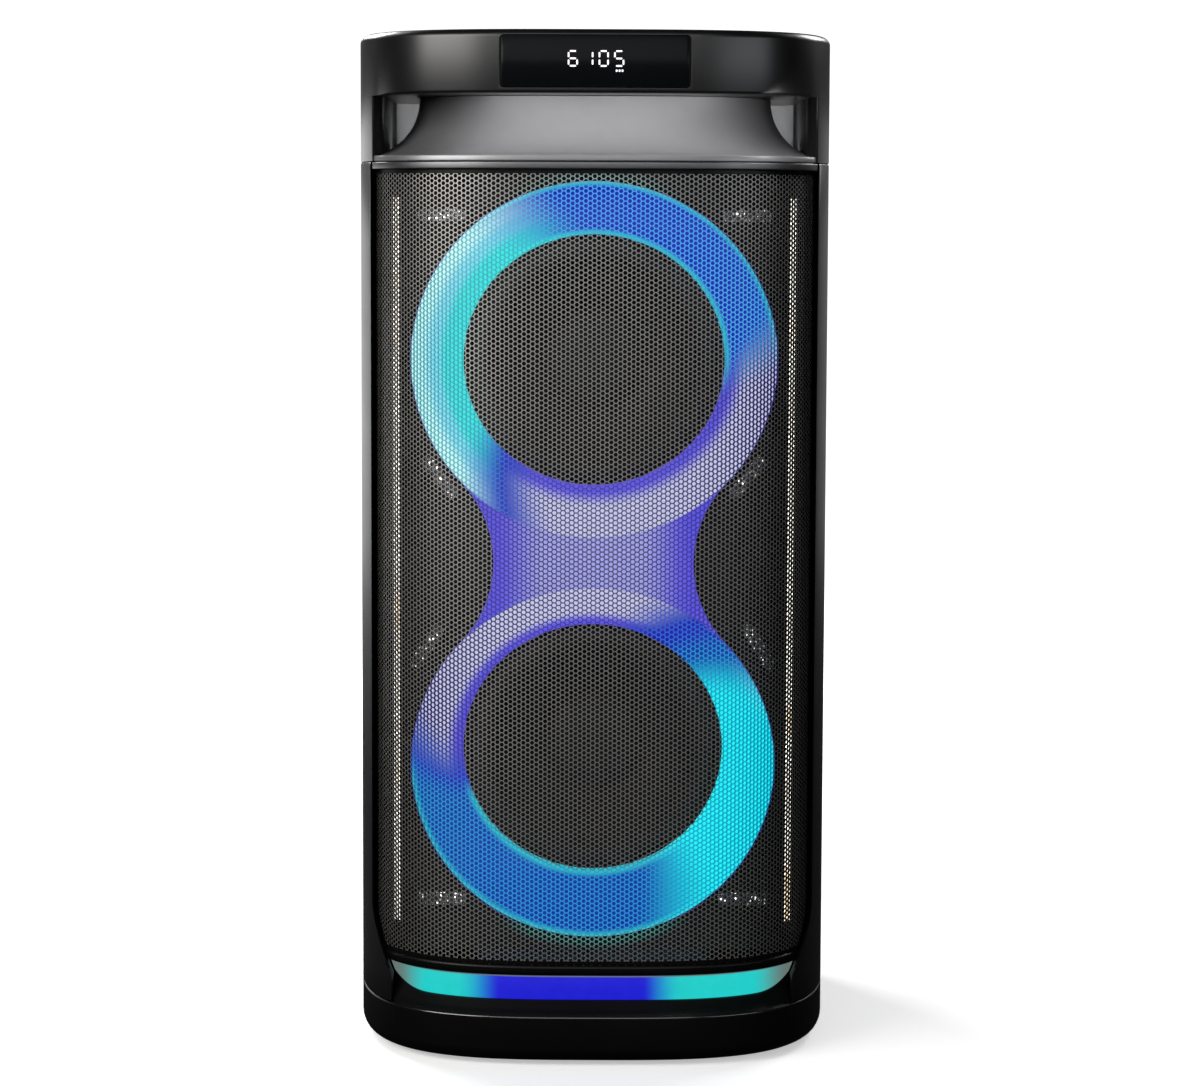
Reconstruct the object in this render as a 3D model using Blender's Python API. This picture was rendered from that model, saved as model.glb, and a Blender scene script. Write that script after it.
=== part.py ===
"""Party speaker: a tall rounded cabinet with two woofers, a light ring and a carrying recess.

Lengths are in millimetres and become metres in the meshes. X is to the right, Y to the back, Z up.
"""

import math

import bmesh
import bpy

MM = 0.001

# Plan shape: half a rounder curve at the front, half a squarer one at the back
FRONT_DEPTH = 175.0
BACK_DEPTH = 165.0
FRONT_POWER = 3.2
BACK_POWER = 5.0
OUTLINE_POINTS = 60
ROUND_STEPS = 24
SMALL_STEPS = 16

# Walls and clearances; cutters reach past a wall by CUT
FIT = 0.4
CUT = 20.0
WELD = 0.02
WALL = 6.0
THIN_WALL = 5.0

# Woofers
CONE_RADIUS = 67.6
CONE_DEPTH = 42.6
CONE_THICKNESS = 2.2
CONE_LEAD = 4.0
CONE_TRAVEL = 5.0
ROLL_RADIUS = 7.5
ROLL_THICKNESS = 1.2
RIM_WIDTH = 19.0
RIM_THICKNESS = 4.0
RIM_GAP = 0.6
COIL_RADIUS = 25.4
COIL_THICKNESS = 1.4
COIL_REACH = 14.0
COIL_GAP = 2.6
SPIDER_ROOM = 23.4
THROAT_EDGE = 8.0
BASKET_THROAT = 20.0
BASKET_WALL = 3.0
BASKET_PLATE = 4.0
BASKET_WINDOWS = 6
BASKET_WINDOW_WIDTH = 30.0
BASKET_WINDOW_LENGTH = 26.0
MAGNET_RADIUS = 60.0
MAGNET_BACK = 6.0
GROOVE_ROOM = 5.0
POLE_SINK = 2.0
POLE_GAP = 1.5
CAP_RADIUS = 34.2
CAP_HEIGHT = 13.0
CAP_THICKNESS = 1.3
CAP_GAP = 1.0
CAP_STEPS = 4

# Light ring: two ovals round the woofers, joined by a waist with hollow sides
RING_SIDE_GAP = 5.5
RING_END_GAP = 1.5
RING_BAND = 35.5
RING_SPACING = 23.5
LOWER_RING_DROP = 11.0
RING_WAIST = 67.8
RING_DEPTH = 6.6
RING_GRILLE_GAP = 8.6
RING_SIDE_ROOM = 39.0
RING_TOP_MARGIN = 7.1
RING_BOTTOM_MARGIN = 21.5
RING_STEPS = 28
WAIST_STEPS = 8
BOARD_EDGE = 5.0
BOARD_THICKNESS = 1.6

# Strobes, side lights and baffle
STROBE_LENGTH = 34.0
STROBE_WIDTH = 8.0
STROBE_CORNER = 3.9
STROBE_DEPTH = 6.0
STROBE_RING_GAP = 5.0
STROBE_CORNER_INSET = 21.0
STROBE_TOP_DROP = 23.0
STROBE_BOTTOM_RISE = 14.0
UPPER_STROBE_ANGLE = -38.0
LOWER_STROBE_ANGLE = 32.0
SIDE_LIGHT_WIDTH = 6.6
SIDE_LIGHT_DEPTH = 8.0
SIDE_LIGHT_GAP = 2.0
SIDE_LIGHT_MARGIN = 18.5
BAFFLE_THICKNESS = 18.0
BAFFLE_GAP = 0.7
REBATE_THICKNESS = 4.6

# Heights, from the floor up
FOOT_HEIGHT = 3.0
BASE_HEIGHT = 32.0
BASE_FLOOR_THICKNESS = 4.6
BASE_ROUND = 10.0
SPIGOT_THICKNESS = 9.5
LEDGE_RISE = 9.0
LIGHT_BAR_HEIGHT = 16.8
BOTTOM_TRIM_HEIGHT = 7.3
TOP_TRIM_HEIGHT = 4.8
RECESS_HEIGHT = 44.0

# Insets from the plan outline
GRILLE_INSET = 5.0
GRILLE_THICKNESS = 1.2
TRIM_INSET = 0.8
TRIM_DEPTH = 8.2
BOTTOM_TRIM_INSET = 3.8
BOTTOM_TRIM_LEAN = 0.8
LIGHT_BAR_INSET = 9.0
LIGHT_BAR_THICKNESS = 5.0
LEDGE_INSET = 10.0
LEDGE_THICKNESS = 3.0
LEDGE_LIP = 0.5
LEDGE_ROOT = 6.0

# Openings of the grille, in a plain grid
GRILLE_COLUMNS = 12
GRILLE_ROWS = 20
GRILLE_BAR = 11.0
GRILLE_SIDE_MARGIN = 19.0
GRILLE_END_MARGIN = 12.0

# Front opening: upright cheeks that flare in above the base, and a ledge that sweeps up to them
CHEEK_WIDTH = 12.0
LEDGE_END = 27.0
LEDGE_RUN = 33.0
LEDGE_CUT = 6.0
LEDGE_POWER = 2.6
FLARE_DROP = 7.0
FLARE_HEIGHT = 47.0
FLARE_STEPS = 5

# Grip recess and neck
PILLAR_WIDTH = 19.0
PILLAR_SETBACK = 68.25
PILLAR_ROUND = 14.0
RECESS_REACH = 79.2
RECESS_CORNER = 12.0
RECESS_ROOF = 4.0
NECK_LIP = 4.0
NECK_WALL = 4.0

# Top band and display
WINDOW_WIDTH = 125.0
WINDOW_HEIGHT = 34.0
WINDOW_MARGIN = 4.0
WINDOW_CORNER = 2.6
WINDOW_SINK = 0.5
WINDOW_THICKNESS = 3.1
MODULE_WIDTH = 85.0
MODULE_DEPTH = 9.4
MODULE_SETBACK = 6.6
MODULE_ROOM = 2.0
RIM_ROUND = 5.0
RIM_LIP = 1.2
SHELF_WIDTH = 2.8
SHELF_THICKNESS = 3.0
BAND_FLOOR_THICKNESS = 3.8

# Controls
PANEL_SINK = 6.0
PANEL_THICKNESS = 3.9
CONTROL_SETBACK = 126.0
BUTTON_RADIUS = 9.0
BUTTON_TRAVEL = 1.5
BUTTON_PROUD = 0.3
BUTTON_BEVEL = 0.8
BUTTON_FLANGE = 2.0
BUTTON_FLANGE_EDGE = 1.6
BUTTON_SPACING = 9.0
KNOB_RADIUS = 29.0
KNOB_SPACING = 19.0
KNOB_BEVEL = 1.2
KNOB_CROWN = 2.0
SHAFT_RADIUS = 3.0
ENCODER_WIDTH = 13.0
CONTROL_BOARD_DEPTH = 44.0
CONTROL_BOARD_EDGE = 2.0
LEG_RADIUS = 3.0
LEG_INSET = 8.0

# Feet
FOOT_RADIUS = 20.0
FOOT_SINK = 1.0
FOOT_BEVEL = 1.0
FOOT_STEPS = 20
FOOT_SIDE_INSET = 58.7
FOOT_FRONT_INSET = 66.5
FOOT_REAR_INSET = 56.1

# Rear panel
REAR_WIDTH = 140.0
REAR_HEIGHT = 180.0
REAR_DROP = 47.0
REAR_SINK = 3.6
REAR_FLANGE = 4.0
REAR_FLANGE_EDGE = 7.0
REAR_SEAT_GAP = 1.6
SOCKET_DEPTH = 12.0
SOCKET_PROUD = 2.4
SOCKET_LEFT = 35.0
SOCKET_RIGHT = 25.0
LOW_ROW_RISE = 25.0
MIDDLE_ROW_RISE = 78.0
HIGH_ROW_RISE = 132.0

# Sockets and switch
INLET_WIDTH = 27.2
INLET_HEIGHT = 19.2
INLET_EDGE = 3.4
INLET_CORNER = 3.0
INLET_SLOT_WIDTH = 18.0
INLET_SLOT_HEIGHT = 9.0
INLET_SLOT_CORNER = 4.4
INLET_DEPTH = 15.0
PIN_RADIUS = 1.2
PIN_SPACING = 8.6
PIN_SINK = 5.0
USB_WIDTH = 17.2
USB_HEIGHT = 9.6
USB_EDGE = 1.8
USB_CORNER = 1.2
USB_SLOT_WIDTH = 13.2
USB_SLOT_HEIGHT = 5.8
USB_DEPTH = 12.0
LINE_BODY = 4.6
LINE_BORE = 1.85
MICROPHONE_BODY = 8.6
MICROPHONE_BORE = 3.4
JACK_EDGE = 2.5
JACK_BEVEL = 0.7
JACK_FLOOR = 3.0
ROCKER_RADIUS = 9.6
ROCKER_WIDTH = 12.8
ROCKER_TILT = 7.0
ROCKER_SINK = 3.0
ROCKER_FACE = 4.1
ROCKER_DISH = 0.9
ROCKER_GAP = 0.7
BEZEL_WALL = 2.0
BEZEL_EDGE = 2.4

# Bass port
PORT_RADIUS = 30.0
PORT_WALL = 4.0
PORT_FLARE = 16.0
PORT_LIP = 2.0
PORT_SINK = 1.0
PORT_RISE = 155.0
PORT_LENGTH = 90.0

# Electronics
AMP_GAP = 4.0
AMP_MARGIN = 3.0
POST_RADIUS = 3.5
POST_INSET = 5.0
FIN_COUNT = 6
FIN_STEP = 10.5
FIN_THICKNESS = 5.0
SINK_BASE = 8.0
SINK_DEPTH = 26.0
SINK_LENGTH = 108.0
BATTERY_WIDTH = 169.5
BATTERY_DEPTH = 90.0
BATTERY_HEIGHT = 56.0
BATTERY_CORNER = 4.0
BATTERY_SETBACK = 40.0

# Woofers and ring, worked out from the cone outwards
SURROUND_RADIUS = CONE_RADIUS + FIT + 2 * ROLL_RADIUS
RIM_RADIUS = SURROUND_RADIUS + RIM_WIDTH
THROAT_RADIUS = SURROUND_RADIUS + THROAT_EDGE
BASKET_DEPTH = CONE_DEPTH + SPIDER_ROOM
RING_HOLE_WIDTH = SURROUND_RADIUS + RING_SIDE_GAP
RING_HOLE_HEIGHT = SURROUND_RADIUS + RING_END_GAP
RING_HALF_WIDTH = RING_HOLE_WIDTH + RING_BAND
RING_HALF_HEIGHT = RING_HOLE_HEIGHT + RING_BAND
RING_GAP = 2 * RING_HALF_HEIGHT + RING_SPACING

# Plan, from the ring outwards
HALF_WIDTH = RING_HALF_WIDTH + RING_SIDE_ROOM
DEPTH = FRONT_DEPTH + BACK_DEPTH
MIDDLE_Y = FRONT_DEPTH - DEPTH / 2
FRONT_Y = MIDDLE_Y - FRONT_DEPTH
BACK_Y = MIDDLE_Y + BACK_DEPTH
OPENING_HALF_WIDTH = HALF_WIDTH - CHEEK_WIDTH
LEDGE_HALF_WIDTH = HALF_WIDTH - LEDGE_END
RECESS_HALF_WIDTH = HALF_WIDTH - PILLAR_WIDTH
RECESS_BACK_Y = MIDDLE_Y + RECESS_REACH
FOOT_X = HALF_WIDTH - FOOT_SIDE_INSET
FOOT_FRONT_Y = FRONT_Y + FOOT_FRONT_INSET
FOOT_REAR_Y = BACK_Y - FOOT_REAR_INSET

# Heights, stacked from the floor
BASE_TOP = FOOT_HEIGHT + BASE_HEIGHT
BASE_FLOOR = FOOT_HEIGHT + BASE_FLOOR_THICKNESS
LEDGE_TOP = BASE_TOP + LEDGE_RISE
LIGHT_BAR_BOTTOM = LEDGE_TOP + FIT
LIGHT_BAR_TOP = LIGHT_BAR_BOTTOM + LIGHT_BAR_HEIGHT
BOTTOM_TRIM_BOTTOM = LIGHT_BAR_TOP + FIT
BOTTOM_TRIM_TOP = BOTTOM_TRIM_BOTTOM + BOTTOM_TRIM_HEIGHT
GRILLE_BOTTOM = BOTTOM_TRIM_TOP + FIT
LOWER_Z = GRILLE_BOTTOM + RING_BOTTOM_MARGIN + RING_HALF_HEIGHT
UPPER_Z = LOWER_Z + RING_GAP
RING_MIDDLE = (LOWER_Z + UPPER_Z) / 2
GRILLE_TOP = UPPER_Z + RING_HALF_HEIGHT + RING_TOP_MARGIN
CABINET_TOP = GRILLE_TOP + FIT + TOP_TRIM_HEIGHT
SHOULDER = CABINET_TOP + FIT
BAND_BOTTOM = SHOULDER + RECESS_HEIGHT
BAND_HEIGHT = WINDOW_HEIGHT + 2 * WINDOW_MARGIN
HEIGHT = BAND_BOTTOM + BAND_HEIGHT

# Top controls
PANEL_TOP = HEIGHT - PANEL_SINK
PANEL_BOTTOM = PANEL_TOP - PANEL_THICKNESS
SHELF = PANEL_BOTTOM - FIT
BAND_FLOOR = BAND_BOTTOM + BAND_FLOOR_THICKNESS
CONTROL_Y = FRONT_Y + CONTROL_SETBACK
BUTTON_STEP = 2 * BUTTON_RADIUS + BUTTON_SPACING
BUTTON_START = KNOB_RADIUS + KNOB_SPACING + BUTTON_RADIUS
BUTTON_FLANGE_TOP = PANEL_BOTTOM - FIT
BOARD_TOP = BUTTON_FLANGE_TOP - BUTTON_FLANGE - BUTTON_TRAVEL - FIT

# Rear panel and port
REAR_HALF_WIDTH = REAR_WIDTH / 2
REAR_TOP = SHOULDER - REAR_DROP
REAR_BOTTOM = REAR_TOP - REAR_HEIGHT
REAR_FACE = BACK_Y - REAR_SINK
REAR_PLATE_BACK = BACK_Y - WALL - REAR_SEAT_GAP
REAR_FLANGE_BACK = REAR_PLATE_BACK - REAR_FLANGE
SOCKET_BACK = REAR_FLANGE_BACK - SOCKET_DEPTH
SOCKET_FACE = REAR_FACE + SOCKET_PROUD
INLET_X = -SOCKET_LEFT
SWITCH_X = SOCKET_RIGHT
LOW_ROW = REAR_BOTTOM + LOW_ROW_RISE
MIDDLE_ROW = REAR_BOTTOM + MIDDLE_ROW_RISE
HIGH_ROW = REAR_BOTTOM + HIGH_ROW_RISE
ROCKER_Y = REAR_FACE - ROCKER_SINK
PORT_MOUTH = PORT_RADIUS + PORT_FLARE
PORT_Z = BASE_TOP + PORT_RISE


def superellipse(inset, turn):
    front = math.sin(turn) < 0
    power = FRONT_POWER if front else BACK_POWER
    depth = (FRONT_DEPTH if front else BACK_DEPTH) - inset
    across = math.cos(turn)
    along = math.sin(turn)
    x = math.copysign(abs(across) ** (2 / power), across) * (HALF_WIDTH - inset)
    y = math.copysign(abs(along) ** (2 / power), along) * depth
    return x, MIDDLE_Y + y


def outline(inset):
    """Plan outline, counter-clockwise from the right-hand side."""
    return [superellipse(inset, 2 * math.pi * k / OUTLINE_POINTS) for k in range(OUTLINE_POINTS)]


def half_width(y, inset):
    """Half width of the outline at y, measured on its facets."""
    points = outline(inset)
    widest = 0.0
    for (x0, y0), (x1, y1) in zip(points, points[1:] + points[:1]):
        if min(y0, y1) <= y <= max(y0, y1) and y0 != y1:
            widest = max(widest, x0 + (x1 - x0) * (y - y0) / (y1 - y0))
    return widest


def front_face(x, inset):
    """Y of the front of the outline at x, measured on its facets."""
    points = outline(inset)
    nearest = MIDDLE_Y
    for (x0, y0), (x1, y1) in zip(points, points[1:] + points[:1]):
        if min(x0, x1) <= x <= max(x0, x1) and x0 != x1:
            nearest = min(nearest, y0 + (y1 - y0) * (x - x0) / (x1 - x0))
    return nearest


def ring(inset, z, lift=None):
    return [(x, y, z + (lift(x) if lift else 0.0)) for x, y in outline(inset)]


def ledge_lift(x):
    """The front ledge sweeps up towards the cheeks."""
    over = min(abs(x) - LEDGE_HALF_WIDTH + LEDGE_RUN - LEDGE_CUT, LEDGE_RUN)
    return LIGHT_BAR_HEIGHT * (over / LEDGE_RUN) ** LEDGE_POWER if over > 0 else 0.0


def solid(points, faces):
    mesh = bpy.data.meshes.new("shape")
    mesh.from_pydata([(x * MM, y * MM, z * MM) for x, y, z in points], [], faces)
    work = bmesh.new()
    work.from_mesh(mesh)
    bmesh.ops.remove_doubles(work, verts=work.verts, dist=1e-7)
    bmesh.ops.recalc_face_normals(work, faces=work.faces)
    bmesh.ops.triangulate(work, faces=work.faces)
    work.to_mesh(mesh)
    work.free()
    shape = bpy.data.objects.new("shape", mesh)
    bpy.context.scene.collection.objects.link(shape)
    return shape


def loft(rings, hollow=False):
    """Skin over rings of equal length; a hollow loft joins its last ring to its first."""
    count = len(rings[0])
    points = [point for one in rings for point in one]
    faces = []
    for i in range(len(rings) if hollow else len(rings) - 1):
        low = i * count
        high = (i + 1) % len(rings) * count
        for j in range(count):
            k = (j + 1) % count
            faces.append((low + j, low + k, high + k, high + j))
    if not hollow:
        faces.append(tuple(reversed(range(count))))
        faces.append(tuple(range(len(points) - count, len(points))))
    return solid(points, faces)


def wall(outer, inner, bottom, top, lift=None):
    """A wall between two insets that follows the plan outline all round."""
    return loft(
        [ring(outer, bottom, lift), ring(outer, top), ring(inner, top), ring(inner, bottom, lift)],
        hollow=True,
    )


def placed(axis, u, v, along):
    return {"X": (along, u, v), "Y": (u, along, v), "Z": (u, v, along)}[axis]


def prism(polygon, axis, start, end):
    """A flat polygon drawn out along one axis."""
    return loft([[placed(axis, u, v, along) for u, v in polygon] for along in (start, end)])


def box(x0, x1, y0, y1, z0, z1):
    return prism([(x0, y0), (x1, y0), (x1, y1), (x0, y1)], "Z", z0, z1)


def turned(profile, axis, centre=(0.0, 0.0), steps=ROUND_STEPS):
    """A turned shape; the profile is (radius, position) and closes on the axis or on itself."""
    rings = []
    for k in range(steps):
        turn = 2 * math.pi * (k + 0.5) / steps
        ring_points = []
        for radius, along in profile:
            u = centre[0] + radius * math.cos(turn)
            v = centre[1] + radius * math.sin(turn)
            ring_points.append(placed(axis, u, v, along))
        rings.append(ring_points)
    on_axis = profile[0][0] == 0 and profile[-1][0] == 0
    count = len(profile)
    points = [point for one in rings for point in one]
    faces = []
    for i in range(steps):
        low = i * count
        high = (i + 1) % steps * count
        for j in range(count - 1 if on_axis else count):
            k = (j + 1) % count
            corners = [low + j, low + k, high + k, high + j]
            if profile[j][0] == 0:
                corners.remove(high + j)
            if profile[k][0] == 0:
                corners.remove(high + k)
            faces.append(tuple(corners))
    return solid(points, faces)


def oval(half_u, half_v, centre, steps=ROUND_STEPS):
    points = []
    for k in range(steps):
        turn = 2 * math.pi * (k + 0.5) / steps
        points.append((centre[0] + half_u * math.cos(turn), centre[1] + half_v * math.sin(turn)))
    return points


def circle(radius, centre, steps=ROUND_STEPS):
    return oval(radius, radius, centre, steps)


def rectangle(width, height, centre):
    u, v = centre
    right = [(u + width / 2, v - height / 2), (u + width / 2, v + height / 2)]
    return right + [(2 * u - x, y) for x, y in reversed(right)]


def rounded(width, height, radius, centre, steps=4):
    points = []
    for quarter, (su, sv) in enumerate(((1, 1), (-1, 1), (-1, -1), (1, -1))):
        for k in range(steps + 1):
            turn = math.pi / 2 * (quarter + k / steps)
            u = centre[0] + su * (width / 2 - radius) + radius * math.cos(turn)
            v = centre[1] + sv * (height / 2 - radius) + radius * math.sin(turn)
            points.append((u, v))
    return points


def turn_points(points, degrees, centre):
    c = math.cos(math.radians(degrees))
    s = math.sin(math.radians(degrees))
    out = []
    for u, v in points:
        du = u - centre[0]
        dv = v - centre[1]
        out.append((centre[0] + c * du - s * dv, centre[1] + s * du + c * dv))
    return out


def combine(shape, tool, operation):
    modifier = shape.modifiers.new("combine", "BOOLEAN")
    modifier.solver = "EXACT"
    modifier.operation = operation
    modifier.object = tool
    graph = bpy.context.evaluated_depsgraph_get()
    result = bpy.data.meshes.new_from_object(shape.evaluated_get(graph))
    work = bmesh.new()
    work.from_mesh(result)
    bmesh.ops.remove_doubles(work, verts=work.verts, dist=WELD * MM)
    bmesh.ops.dissolve_degenerate(work, edges=work.edges, dist=WELD * MM / 10)
    bmesh.ops.holes_fill(work, edges=work.edges, sides=4)
    bmesh.ops.triangulate(work, faces=work.faces)
    work.to_mesh(result)
    work.free()
    shape.modifiers.clear()
    shape.data = result
    bpy.data.objects.remove(tool)
    return shape


def cut(shape, *tools):
    for tool in tools:
        combine(shape, tool, "DIFFERENCE")
    return shape


def join(shape, *tools):
    for tool in tools:
        combine(shape, tool, "UNION")
    return shape


def common(shape, tool):
    return combine(shape, tool, "INTERSECT")


def material(name, colour, roughness, metallic=0.0):
    made = bpy.data.materials.new(name)
    made.use_nodes = True
    surface = made.node_tree.nodes["Principled BSDF"]
    surface.inputs["Base Color"].default_value = (*colour, 1.0)
    surface.inputs["Roughness"].default_value = roughness
    surface.inputs["Metallic"].default_value = metallic
    return made


def node(shape, name, surface, origin=(0.0, 0.0, 0.0), smooth=True):
    """Names a finished piece and puts its origin on its joint axis."""
    mesh = shape.data
    for vertex in mesh.vertices:
        vertex.co.x -= origin[0] * MM
        vertex.co.y -= origin[1] * MM
        vertex.co.z -= origin[2] * MM
    shape.location = [value * MM for value in origin]
    mesh.materials.clear()
    mesh.materials.append(surface)
    if smooth:
        for face in mesh.polygons:
            face.use_smooth = True
        mesh.set_sharp_from_angle(angle=math.radians(35))
    shape.name = name
    mesh.name = name
    return shape


def opening(gap):
    """Front opening of the cabinet, as a prism that its inserts share, gap smaller all round."""
    lower = LEDGE_HALF_WIDTH - gap
    upper = OPENING_HALF_WIDTH - gap
    start = LIGHT_BAR_TOP - FLARE_DROP
    side = [(lower, BASE_TOP - CUT)]
    for k in range(FLARE_STEPS + 1):
        share = k / FLARE_STEPS
        x = lower + (upper - lower) * math.sin(math.pi / 2 * share)
        side.append((x, start + FLARE_HEIGHT * share))
    side.append((upper, SHOULDER + CUT))
    mirrored = [(-x, z) for x, z in reversed(side)]
    return prism(side + mirrored, "Y", FRONT_Y - CUT, MIDDLE_Y)


def grip_recess(gap):
    """Space between the pillars, under the band, as a prism that is gap smaller all round."""
    side = RECESS_HALF_WIDTH - gap
    back = RECESS_BACK_Y - gap
    tip = FRONT_Y + PILLAR_SETBACK
    right = [(side + PILLAR_WIDTH + PILLAR_ROUND, FRONT_Y - CUT)]
    for k in range(4, -1, -1):
        share = k / 4
        right.append((side + PILLAR_ROUND * share**2, tip + PILLAR_ROUND * (1 - 2 * share)))
    for k in range(5):
        sweep = math.pi / 2 * k / 4
        x = side - RECESS_CORNER * (1 - math.cos(sweep))
        right.append((x, back - RECESS_CORNER * (1 - math.sin(sweep))))
    left = [(-x, y) for x, y in reversed(right)]
    return prism(right + left, "Z", SHOULDER - CUT, BAND_BOTTOM)


def grille_holes():
    """All openings of the grille, as one tool."""
    side = OPENING_HALF_WIDTH - GRILLE_SIDE_MARGIN
    bottom = GRILLE_BOTTOM + GRILLE_END_MARGIN
    column = 2 * side / GRILLE_COLUMNS
    row = (GRILLE_TOP - GRILLE_END_MARGIN - bottom) / GRILLE_ROWS
    points = []
    faces = []
    for i in range(GRILLE_COLUMNS):
        for j in range(GRILLE_ROWS):
            centre = (column * (i + 0.5) - side, bottom + row * (j + 0.5))
            hole = rectangle(column - GRILLE_BAR, row - GRILLE_BAR, centre)
            start = len(points)
            points += [(x, FRONT_Y - CUT, z) for x, z in hole]
            points += [(x, MIDDLE_Y, z) for x, z in hole]
            ends = [(0, 1, 2, 3), (4, 5, 6, 7)]
            sides = [(k, (k + 1) % 4, (k + 1) % 4 + 4, k + 4) for k in range(4)]
            faces += [tuple(start + k for k in face) for face in ends + sides]
    return solid(points, faces)


def figure_eight(inset):
    """Outline of the light ring in X and Z: two ovals and a waist with hollow sides.

    The lower oval reaches further below its woofer than above it.
    """
    wide = RING_HALF_WIDTH - inset
    tall = RING_HALF_HEIGHT - inset
    waist = RING_WAIST - inset
    squash = tall / wide
    rise = (RING_GAP + LOWER_RING_DROP) / 2 / squash
    middle = RING_MIDDLE - LOWER_RING_DROP / 2
    hollow = (waist**2 + rise**2 - wide**2) / (2 * (wide - waist))
    lean = math.atan2(rise, waist + hollow)
    flat = []
    for k in range(RING_STEPS + 1):
        turn = -lean + (math.pi + 2 * lean) * k / RING_STEPS
        flat.append((wide * math.cos(turn), rise + wide * math.sin(turn)))
    for k in range(1, WAIST_STEPS):
        turn = lean - 2 * lean * k / WAIST_STEPS
        flat.append((-waist - hollow + hollow * math.cos(turn), hollow * math.sin(turn)))
    for k in range(RING_STEPS + 1):
        turn = math.pi - lean + (math.pi + 2 * lean) * k / RING_STEPS
        flat.append((wide * math.cos(turn), -rise + wide * math.sin(turn)))
    for k in range(1, WAIST_STEPS):
        turn = math.pi + lean - 2 * lean * k / WAIST_STEPS
        flat.append((waist + hollow + hollow * math.cos(turn), hollow * math.sin(turn)))
    return [(x, middle + squash * z) for x, z in flat]


def beside_ring(level_z, degrees):
    """Centre and tilt of a strobe that lies along the outside of one oval of the ring."""
    turn = math.radians(degrees)
    across = math.cos(turn) / RING_HALF_WIDTH
    up = math.sin(turn) / RING_HALF_HEIGHT
    reach = (STROBE_RING_GAP + STROBE_WIDTH / 2) / math.hypot(across, up)
    x = RING_HALF_WIDTH * math.cos(turn) + reach * across
    z = level_z + RING_HALF_HEIGHT * math.sin(turn) + reach * up
    return x, z, math.degrees(math.atan2(-across, up))


for old in list(bpy.data.objects):
    bpy.data.objects.remove(old)

GLOSS_BLACK = material("gloss black", (0.012, 0.012, 0.013), 0.2)
SATIN_BLACK = material("satin black", (0.02, 0.02, 0.021), 0.42)
MATT_BLACK = material("matt black", (0.025, 0.025, 0.026), 0.65)
GRILLE_BLACK = material("grille black", (0.03, 0.03, 0.031), 0.45, 0.6)
MILKY = material("milky diffuser", (0.72, 0.78, 0.82), 0.4)
CLEAR_LENS = material("strobe lens", (0.85, 0.87, 0.9), 0.12)
SMOKED = material("smoked window", (0.006, 0.006, 0.007), 0.06)
RUBBER = material("rubber", (0.018, 0.018, 0.018), 0.8)
PAPER = material("cone paper", (0.03, 0.03, 0.032), 0.7)
STEEL = material("steel", (0.5, 0.5, 0.51), 0.35, 1.0)
FERRITE = material("ferrite", (0.06, 0.06, 0.065), 0.55, 0.3)
BOARD = material("circuit board", (0.02, 0.12, 0.06), 0.5)
PALE_PLASTIC = material("pale plastic", (0.55, 0.56, 0.57), 0.5)

# The ring lies behind the curved grille, the woofer rims behind the ring, then the baffle
RING_FRONT = front_face(RING_HALF_WIDTH, GRILLE_INSET + GRILLE_THICKNESS) + RING_GRILLE_GAP
RING_BACK = RING_FRONT + RING_DEPTH
BAFFLE_Y = RING_BACK + RIM_THICKNESS + 2 * FIT
BAFFLE_BACK = BAFFLE_Y + BAFFLE_THICKNESS

# Base, feet and base light
base_rings = []
for k in range(4):
    sweep = math.pi / 2 * k / 3
    rise = BASE_ROUND * (1 - math.cos(sweep))
    base_rings.append(ring(BASE_ROUND * (1 - math.sin(sweep)), FOOT_HEIGHT + rise))
spigot_outer = WALL + FIT
spigot_inner = spigot_outer + SPIGOT_THICKNESS
base = loft(
    base_rings
    + [
        ring(0.0, BASE_TOP),
        ring(spigot_outer, BASE_TOP),
        ring(spigot_outer, LEDGE_TOP - FIT),
        ring(spigot_inner, LEDGE_TOP - FIT),
        ring(spigot_inner, BASE_FLOOR),
    ]
)
ledge_back = LEDGE_INSET + LEDGE_THICKNESS
ledge_root = BASE_TOP - LEDGE_ROOT
ledge = loft(
    [
        ring(LEDGE_LIP, BASE_TOP - LEDGE_LIP),
        ring(LEDGE_INSET, LEDGE_TOP, ledge_lift),
        ring(ledge_back, LEDGE_TOP, ledge_lift),
        ring(ledge_back, ledge_root),
        ring(LEDGE_THICKNESS, ledge_root),
    ],
    hollow=True,
)
ledge_side = LEDGE_HALF_WIDTH - FIT
common(ledge, box(-ledge_side, ledge_side, FRONT_Y - CUT, MIDDLE_Y, 0, HEIGHT))
join(base, ledge)
pocket_radius = FOOT_RADIUS + FIT
pocket_top = FOOT_HEIGHT + FOOT_SINK
foot_top = pocket_top - FIT
for side, x in (("left", -FOOT_X), ("right", FOOT_X)):
    for end, y in (("front", FOOT_FRONT_Y), ("rear", FOOT_REAR_Y)):
        cut(base, prism(circle(pocket_radius, (x, y), FOOT_STEPS), "Z", -CUT, pocket_top))
        foot = turned(
            [
                (0, 0),
                (FOOT_RADIUS - FOOT_BEVEL, 0),
                (FOOT_RADIUS, FOOT_BEVEL),
                (FOOT_RADIUS, foot_top),
                (0, foot_top),
            ],
            "Z",
            (x, y),
            FOOT_STEPS,
        )
        node(foot, f"foot_{end}_{side}", RUBBER)
node(base, "base_shell", SATIN_BLACK)

bar_back = LIGHT_BAR_INSET + LIGHT_BAR_THICKNESS
light_bar = wall(LIGHT_BAR_INSET, bar_back, LIGHT_BAR_BOTTOM, LIGHT_BAR_TOP + FIT, ledge_lift)
common(light_bar, opening(FIT))
bar_side = LEDGE_HALF_WIDTH
common(light_bar, box(-bar_side, bar_side, FRONT_Y - CUT, MIDDLE_Y, 0, LIGHT_BAR_TOP))
node(light_bar, "base_light_bar", MILKY)

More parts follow.
